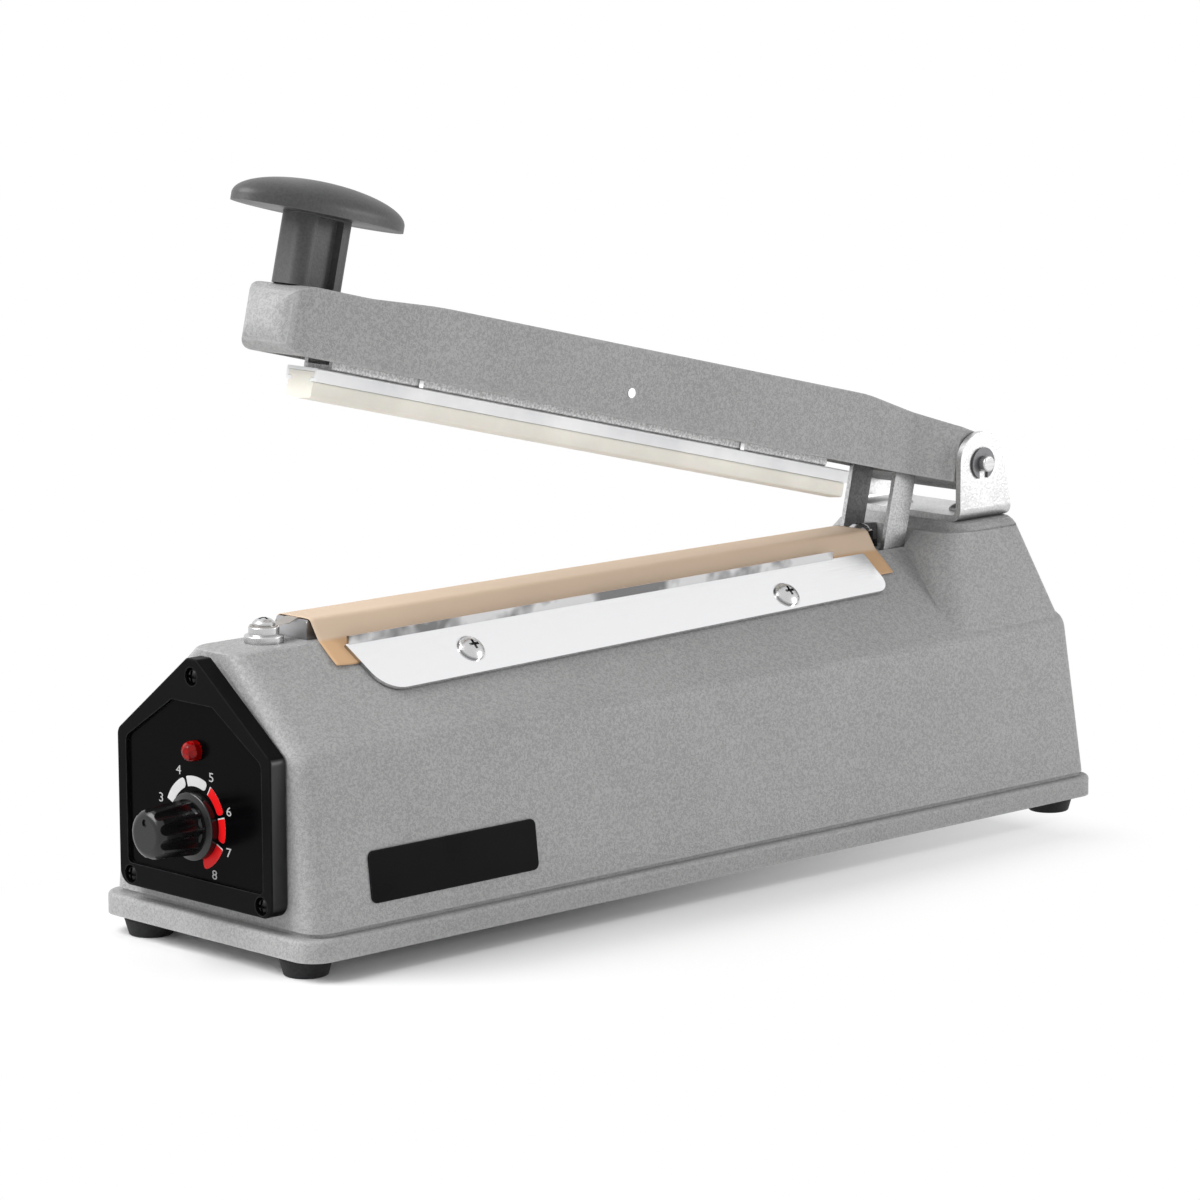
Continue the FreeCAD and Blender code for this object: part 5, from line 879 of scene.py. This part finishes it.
class SEALER_OT_metalwork(bpy.types.Operator):
    """Finish the bracket, the clamp plates, the screws, the rail and the inner metal parts"""

    bl_idname = "sealer.metalwork"
    bl_label = "Metalwork"

    def execute(self, context):
        make_effects()
        colours = context.scene.sealer_colours
        # The metals get painted shade in their creases, and the clamp plates a painted dark reflection on
        # their steep lips.
        dress(metal("bright_steel", colours.bright, 0.10, marked=0.12, crease_shade_share=0.75, reach=0.0024,
                    painted_dark_reflection=0.85), "clamp_plate_near", "clamp_plate_far")
        dress(metal("clip_steel", colours.bright, 0.16), "rail_clips")
        dress(metal("screw_steel", colours.zinc, 0.22, crease_shade_share=0.7), "clamp_screws", "terminal_screws",
              "switch_lever", "hinge_pin", "front_terminal")
        dress(cast_metal("plated_bracket", colours.bracket, 0.3, 1400.0, 0.12, 1.0), "hinge_bracket",
              "bracket_screws")
        dress(metal("zinc_steel", colours.zinc, 0.34), "base_plate", "foot_screws", "timer_potentiometer",
              "timer_nut", "rail_pin", "handle_screw", "yoke_screw", "return_spring", "spring_post",
              "lever_pin", "switch_screws", "transformer_strap")
        dress(cast_metal("galvanised_sheet", colours.galvanised, 0.42, 1500.0, 0.2, 1.0), "arm_yoke",
              "yoke_crossbar", "switch_stand")
        dress(metal("dark_steel", colours.dark_steel, 0.3), "hinge_clips")
        dress(metal("black_screw", colours.black_steel, 0.35), "panel_screws")
        dress(cast_metal("rail_aluminium", colours.rail, 0.5, 1300.0, 0.26, 0.5), "holder_rail",
              "timer_shaft")
        dress(metal("bed_aluminium", colours.bed, 0.32), "heater_bed")
        dress(metal("band_alloy", colours.band, 0.3), "heating_band")
        dress(metal("plain_brass", colours.brass, 0.28), "board_standoffs")
        dress(cast_metal("iron_laminations", colours.core, 0.5, 900.0, 0.2), "transformer_core")
        return {"FINISHED"}


class SEALER_OT_sealing_parts(bpy.types.Operator):
    """Make the cover cloth, and finish the strip holder and the silicone strip"""

    bl_idname = "sealer.sealing_parts"
    bl_label = "Sealing parts"

    def execute(self, context):
        make_effects()
        colours = context.scene.sealer_colours
        sizes = context.scene.sealer_sizes
        finish = glass_cloth(colours.cloth, colours.cloth_top, sizes.brink_height)
        cloth = new_piece("cover_cloth", cloth_mesh("cover_cloth", sizes), "base", finish)
        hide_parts("cover_sheet")
        dress(glossy("white_channel", colours.holder, 0.3, 0.3), "strip_holder")
        dress(soft_rubber("silicone", colours.silicone), "silicone_strip")
        dress(board_resist(colours.board), "timer_board")
        dress(soft_rubber("coil_tape", colours.tape), "transformer_coil")
        return {"FINISHED"}


class SEALER_OT_dial(bpy.types.Operator):
    """Make the panel's printed face with its ring of segments and its digits"""

    bl_idname = "sealer.dial"
    bl_label = "Panel face and dial"

    def execute(self, context):
        make_effects()
        sizes = context.scene.sealer_sizes
        colours = context.scene.sealer_colours
        low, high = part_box("control_panel")
        lamp_low, lamp_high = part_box("indicator_lamp")
        knob_low, knob_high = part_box("timer_knob")
        floor = low.x + sizes.recess_depth
        centre = (knob_low.z + knob_high.z) / 2
        half = high.y - sizes.panel_rim - sizes.face_gap
        peak = sizes.face_top_width / 2 - sizes.face_gap * 0.6
        foot = sizes.face_foot + sizes.face_gap
        top = sizes.face_top - sizes.face_gap
        right = [(half, foot, sizes.face_corner), (half, sizes.face_eave, sizes.eave_corner),
                 (peak, top, sizes.top_corner)]
        left = [(-across, up, radius) for across, up, radius in reversed(right)]
        edge = rounded_corners(left[-1:] + right + left[:-1])
        nut_hole = circle(0.0, centre, sizes.nut_clearance)
        lamp_hole = circle(0.0, (lamp_low.z + lamp_high.z) / 2, sizes.lamp_clearance)
        face = flat_mesh("panel_face", [edge, nut_hole, lamp_hole], floor, sizes.face_thickness)
        new_piece("panel_face", face, "base",
                  glossy("printed_face", colours.gloss_face, 0.16, 0.0, 0.035))
        self.add_marks(sizes, colours, floor - sizes.face_thickness, centre)
        return {"FINISHED"}

    def add_marks(self, sizes, colours, print_back, centre):
        """Prints the segments, the red ones over a pale ground, and the digits."""
        middle = (sizes.ring_shift, centre + sizes.ring_lift)
        pale, red = [], []
        for start, end, is_red in SEGMENTS:
            start, end = math.radians(start), math.radians(end)
            band = (middle, sizes.ring_inner, sizes.ring_outer)
            pale.append(ring_segment(*band, start, end))
            if is_red:
                red.append(ring_segment(*band, start + RED_FRINGE, end))
        for name, bands, thickness, rgb in (
                ("dial_pale_segments", pale, sizes.print_thickness, colours.print_pale),
                ("dial_red_segments", red, sizes.print_thickness * 1.3, colours.print_red)):
            mesh = flat_mesh(name, bands, print_back, thickness)
            new_piece(name, mesh, "base", plain_print(name + "_ink", rgb))
        ink = plain_print("digit_ink", colours.digits)
        for digit, degrees in DIGITS:
            turn = math.radians(degrees)
            mesh = digit_mesh(digit, sizes.digit_height, print_back, sizes.print_thickness,
                              middle[0] + sizes.digit_radius * math.sin(turn),
                              middle[1] + sizes.digit_radius * math.cos(turn))
            new_piece("dial_digit_%d" % digit, mesh, "base", ink)


class SEALER_OT_stage(bpy.types.Operator):
    """Make the floor, the surroundings, the lamps and the camera"""

    bl_idname = "sealer.stage"
    bl_label = "Studio"

    def execute(self, context):
        scene = context.scene
        studio = scene.sealer_studio
        scene.view_settings.view_transform = "Standard"
        make_floor(studio)
        make_world(scene, studio)
        make_lamp("key_lamp", studio.key_place, studio.key_size, studio.key, studio.lamp_target)
        make_lamp("side_lamp", studio.side_place, studio.side_size, studio.side, studio.lamp_target)
        make_camera(scene, studio)
        return {"FINISHED"}


def seen_rays(tree):
    """1 for what the eye sees, directly, in a reflection or through glass."""
    rays = add_node(tree, "LightPath")
    seen = maths(tree, "MAXIMUM", rays.outputs["Is Camera Ray"], rays.outputs["Is Glossy Ray"])
    return maths(tree, "MAXIMUM", seen, rays.outputs["Is Transmission Ray"])


def make_floor(studio):
    """A wide pale floor that keeps the shadow and fades to plain white around the sealer."""
    mesh = bpy.data.meshes.new("floor")
    reach = 6.0
    grey = (studio.floor, studio.floor, studio.floor, 1.0)
    mesh.from_pydata([(-reach, -reach, 0), (reach, -reach, 0), (reach, reach, 0), (-reach, reach, 0)],
                     [], [(0, 1, 2, 3)])
    floor = bpy.data.objects.new("floor", mesh)
    bpy.context.scene.collection.objects.link(floor)
    finish, tree, shader = new_material("floor_white")
    feed(tree, shader, base_color=grey, roughness=0.95, specular_ior_level=0.0)
    low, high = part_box("housing")
    split = add_node(tree, "SeparateXYZ", {0: object_point(tree)})
    beside = []
    for axis, middle, half in ((0, (low.x + high.x) / 2 + studio.shade_along, (high.x - low.x) / 2),
                               (1, studio.shade_side, high.y)):
        offset = maths(tree, "ABSOLUTE", maths(tree, "SUBTRACT", split.outputs[axis], middle))
        beside.append(maths(tree, "MAXIMUM", maths(tree, "SUBTRACT", offset, half), 0.0))
    corner = add_node(tree, "CombineXYZ", {0: beside[0], 1: beside[1]})
    away = add_node(tree, "VectorMath", {0: corner.outputs[0]}, operation="LENGTH")
    slope = maths(tree, "MAXIMUM", maths(tree, "SUBTRACT", split.outputs[0], low.x), 0.0)
    spread = maths(tree, "MULTIPLY_ADD", slope, studio.fade_slope, away.outputs["Value"])
    far = stretch(tree, spread, studio.white_from, studio.white_at, smooth=True)
    white = add_node(tree, "Emission", {"Color": (1.0, 1.0, 1.0, 1.0), "Strength": 1.0})
    chosen = add_node(tree, "MixShader", {0: maths(tree, "MULTIPLY", far, seen_rays(tree)),
                                          1: shader.outputs[0], 2: white.outputs[0]})
    out = next(node for node in tree.nodes if node.bl_idname == "ShaderNodeOutputMaterial")
    tree.links.new(chosen.outputs[0], out.inputs[0])
    wear(floor, finish)


def make_world(scene, studio):
    """Plain surroundings: white to the eye and in reflections, softer as light."""
    world = bpy.data.worlds.new("studio")
    world.use_nodes = True
    tree = world.node_tree
    tree.nodes.clear()
    out = tree.nodes.new("ShaderNodeOutputWorld")
    soft = add_node(tree, "Background", {"Color": (1.0, 1.0, 1.0, 1.0), "Strength": studio.world})
    white = add_node(tree, "Background", {"Color": (1.0, 1.0, 1.0, 1.0), "Strength": 1.0})
    chosen = add_node(tree, "MixShader", {0: seen_rays(tree), 1: soft.outputs[0], 2: white.outputs[0]})
    tree.links.new(chosen.outputs[0], out.inputs[0])
    scene.world = world


def make_lamp(name, place, size, power, target_height):
    """A square soft lamp that faces a point above the frame's origin."""
    lamp = bpy.data.lights.new(name, "AREA")
    lamp.size = size
    lamp.energy = power
    holder = bpy.data.objects.new(name, lamp)
    holder.location = place
    aim = Vector((0.0, 0.0, target_height)) - Vector(place)
    holder.rotation_mode = "QUATERNION"
    holder.rotation_quaternion = aim.to_track_quat("-Z", "Y")
    bpy.context.scene.collection.objects.link(holder)


def make_camera(scene, studio):
    """A long lens from the control end's near side, a little above the horizon."""
    back = Vector((-math.sin(studio.azimuth) * math.cos(studio.elevation),
                   -math.cos(studio.azimuth) * math.cos(studio.elevation),
                   math.sin(studio.elevation)))
    right = Vector((math.cos(studio.azimuth), -math.sin(studio.azimuth), 0.0))
    up = back.cross(right)
    turned_right = right * math.cos(studio.roll) + up * math.sin(studio.roll)
    turned_up = up * math.cos(studio.roll) - right * math.sin(studio.roll)
    target = (turned_right * studio.target_side + turned_up * studio.target_height
              + Vector((studio.target_shift, 0.0, 0.0)))
    lens = bpy.data.cameras.new("camera")
    lens.lens = studio.lens
    lens.sensor_width = 36.0
    lens.clip_start, lens.clip_end = 0.05, 30.0
    camera = bpy.data.objects.new("camera", lens)
    camera.location = target + back * studio.distance
    camera.rotation_mode = "QUATERNION"
    axes = Matrix((turned_right, turned_up, back)).transposed()
    camera.rotation_quaternion = axes.to_quaternion()
    scene.collection.objects.link(camera)
    scene.camera = camera


STEPS = (SEALER_OT_castings, SEALER_OT_mouldings, SEALER_OT_metalwork, SEALER_OT_sealing_parts,
         SEALER_OT_dial, SEALER_OT_stage)


class SEALER_PT_panel(bpy.types.Panel):
    """Lists the sealer's settings and the steps that make it"""

    bl_idname = "SEALER_PT_panel"
    bl_label = "Impulse sealer"
    bl_space_type = "VIEW_3D"
    bl_region_type = "UI"
    bl_category = "Sealer"

    def draw(self, context):
        for step in STEPS:
            self.layout.operator(step.bl_idname)
        for group in (context.scene.sealer_sizes, context.scene.sealer_colours,
                      context.scene.sealer_studio):
            box = self.layout.box()
            for name in group.__annotations__:
                box.prop(group, name)


CLASSES = (SealerSizes, SealerColours, StudioSettings) + STEPS + (SEALER_PT_panel,)


def register():
    for kind in CLASSES:
        bpy.utils.register_class(kind)
    bpy.types.Scene.sealer_sizes = PointerProperty(type=SealerSizes)
    bpy.types.Scene.sealer_colours = PointerProperty(type=SealerColours)
    bpy.types.Scene.sealer_studio = PointerProperty(type=StudioSettings)


def unregister():
    for name in ("sealer_sizes", "sealer_colours", "sealer_studio"):
        delattr(bpy.types.Scene, name)
    for kind in reversed(CLASSES):
        bpy.utils.unregister_class(kind)


def main():
    register()
    for step in STEPS:
        module, name = step.bl_idname.split(".")
        getattr(getattr(bpy.ops, module), name)()


if __name__ == "__main__":
    main()
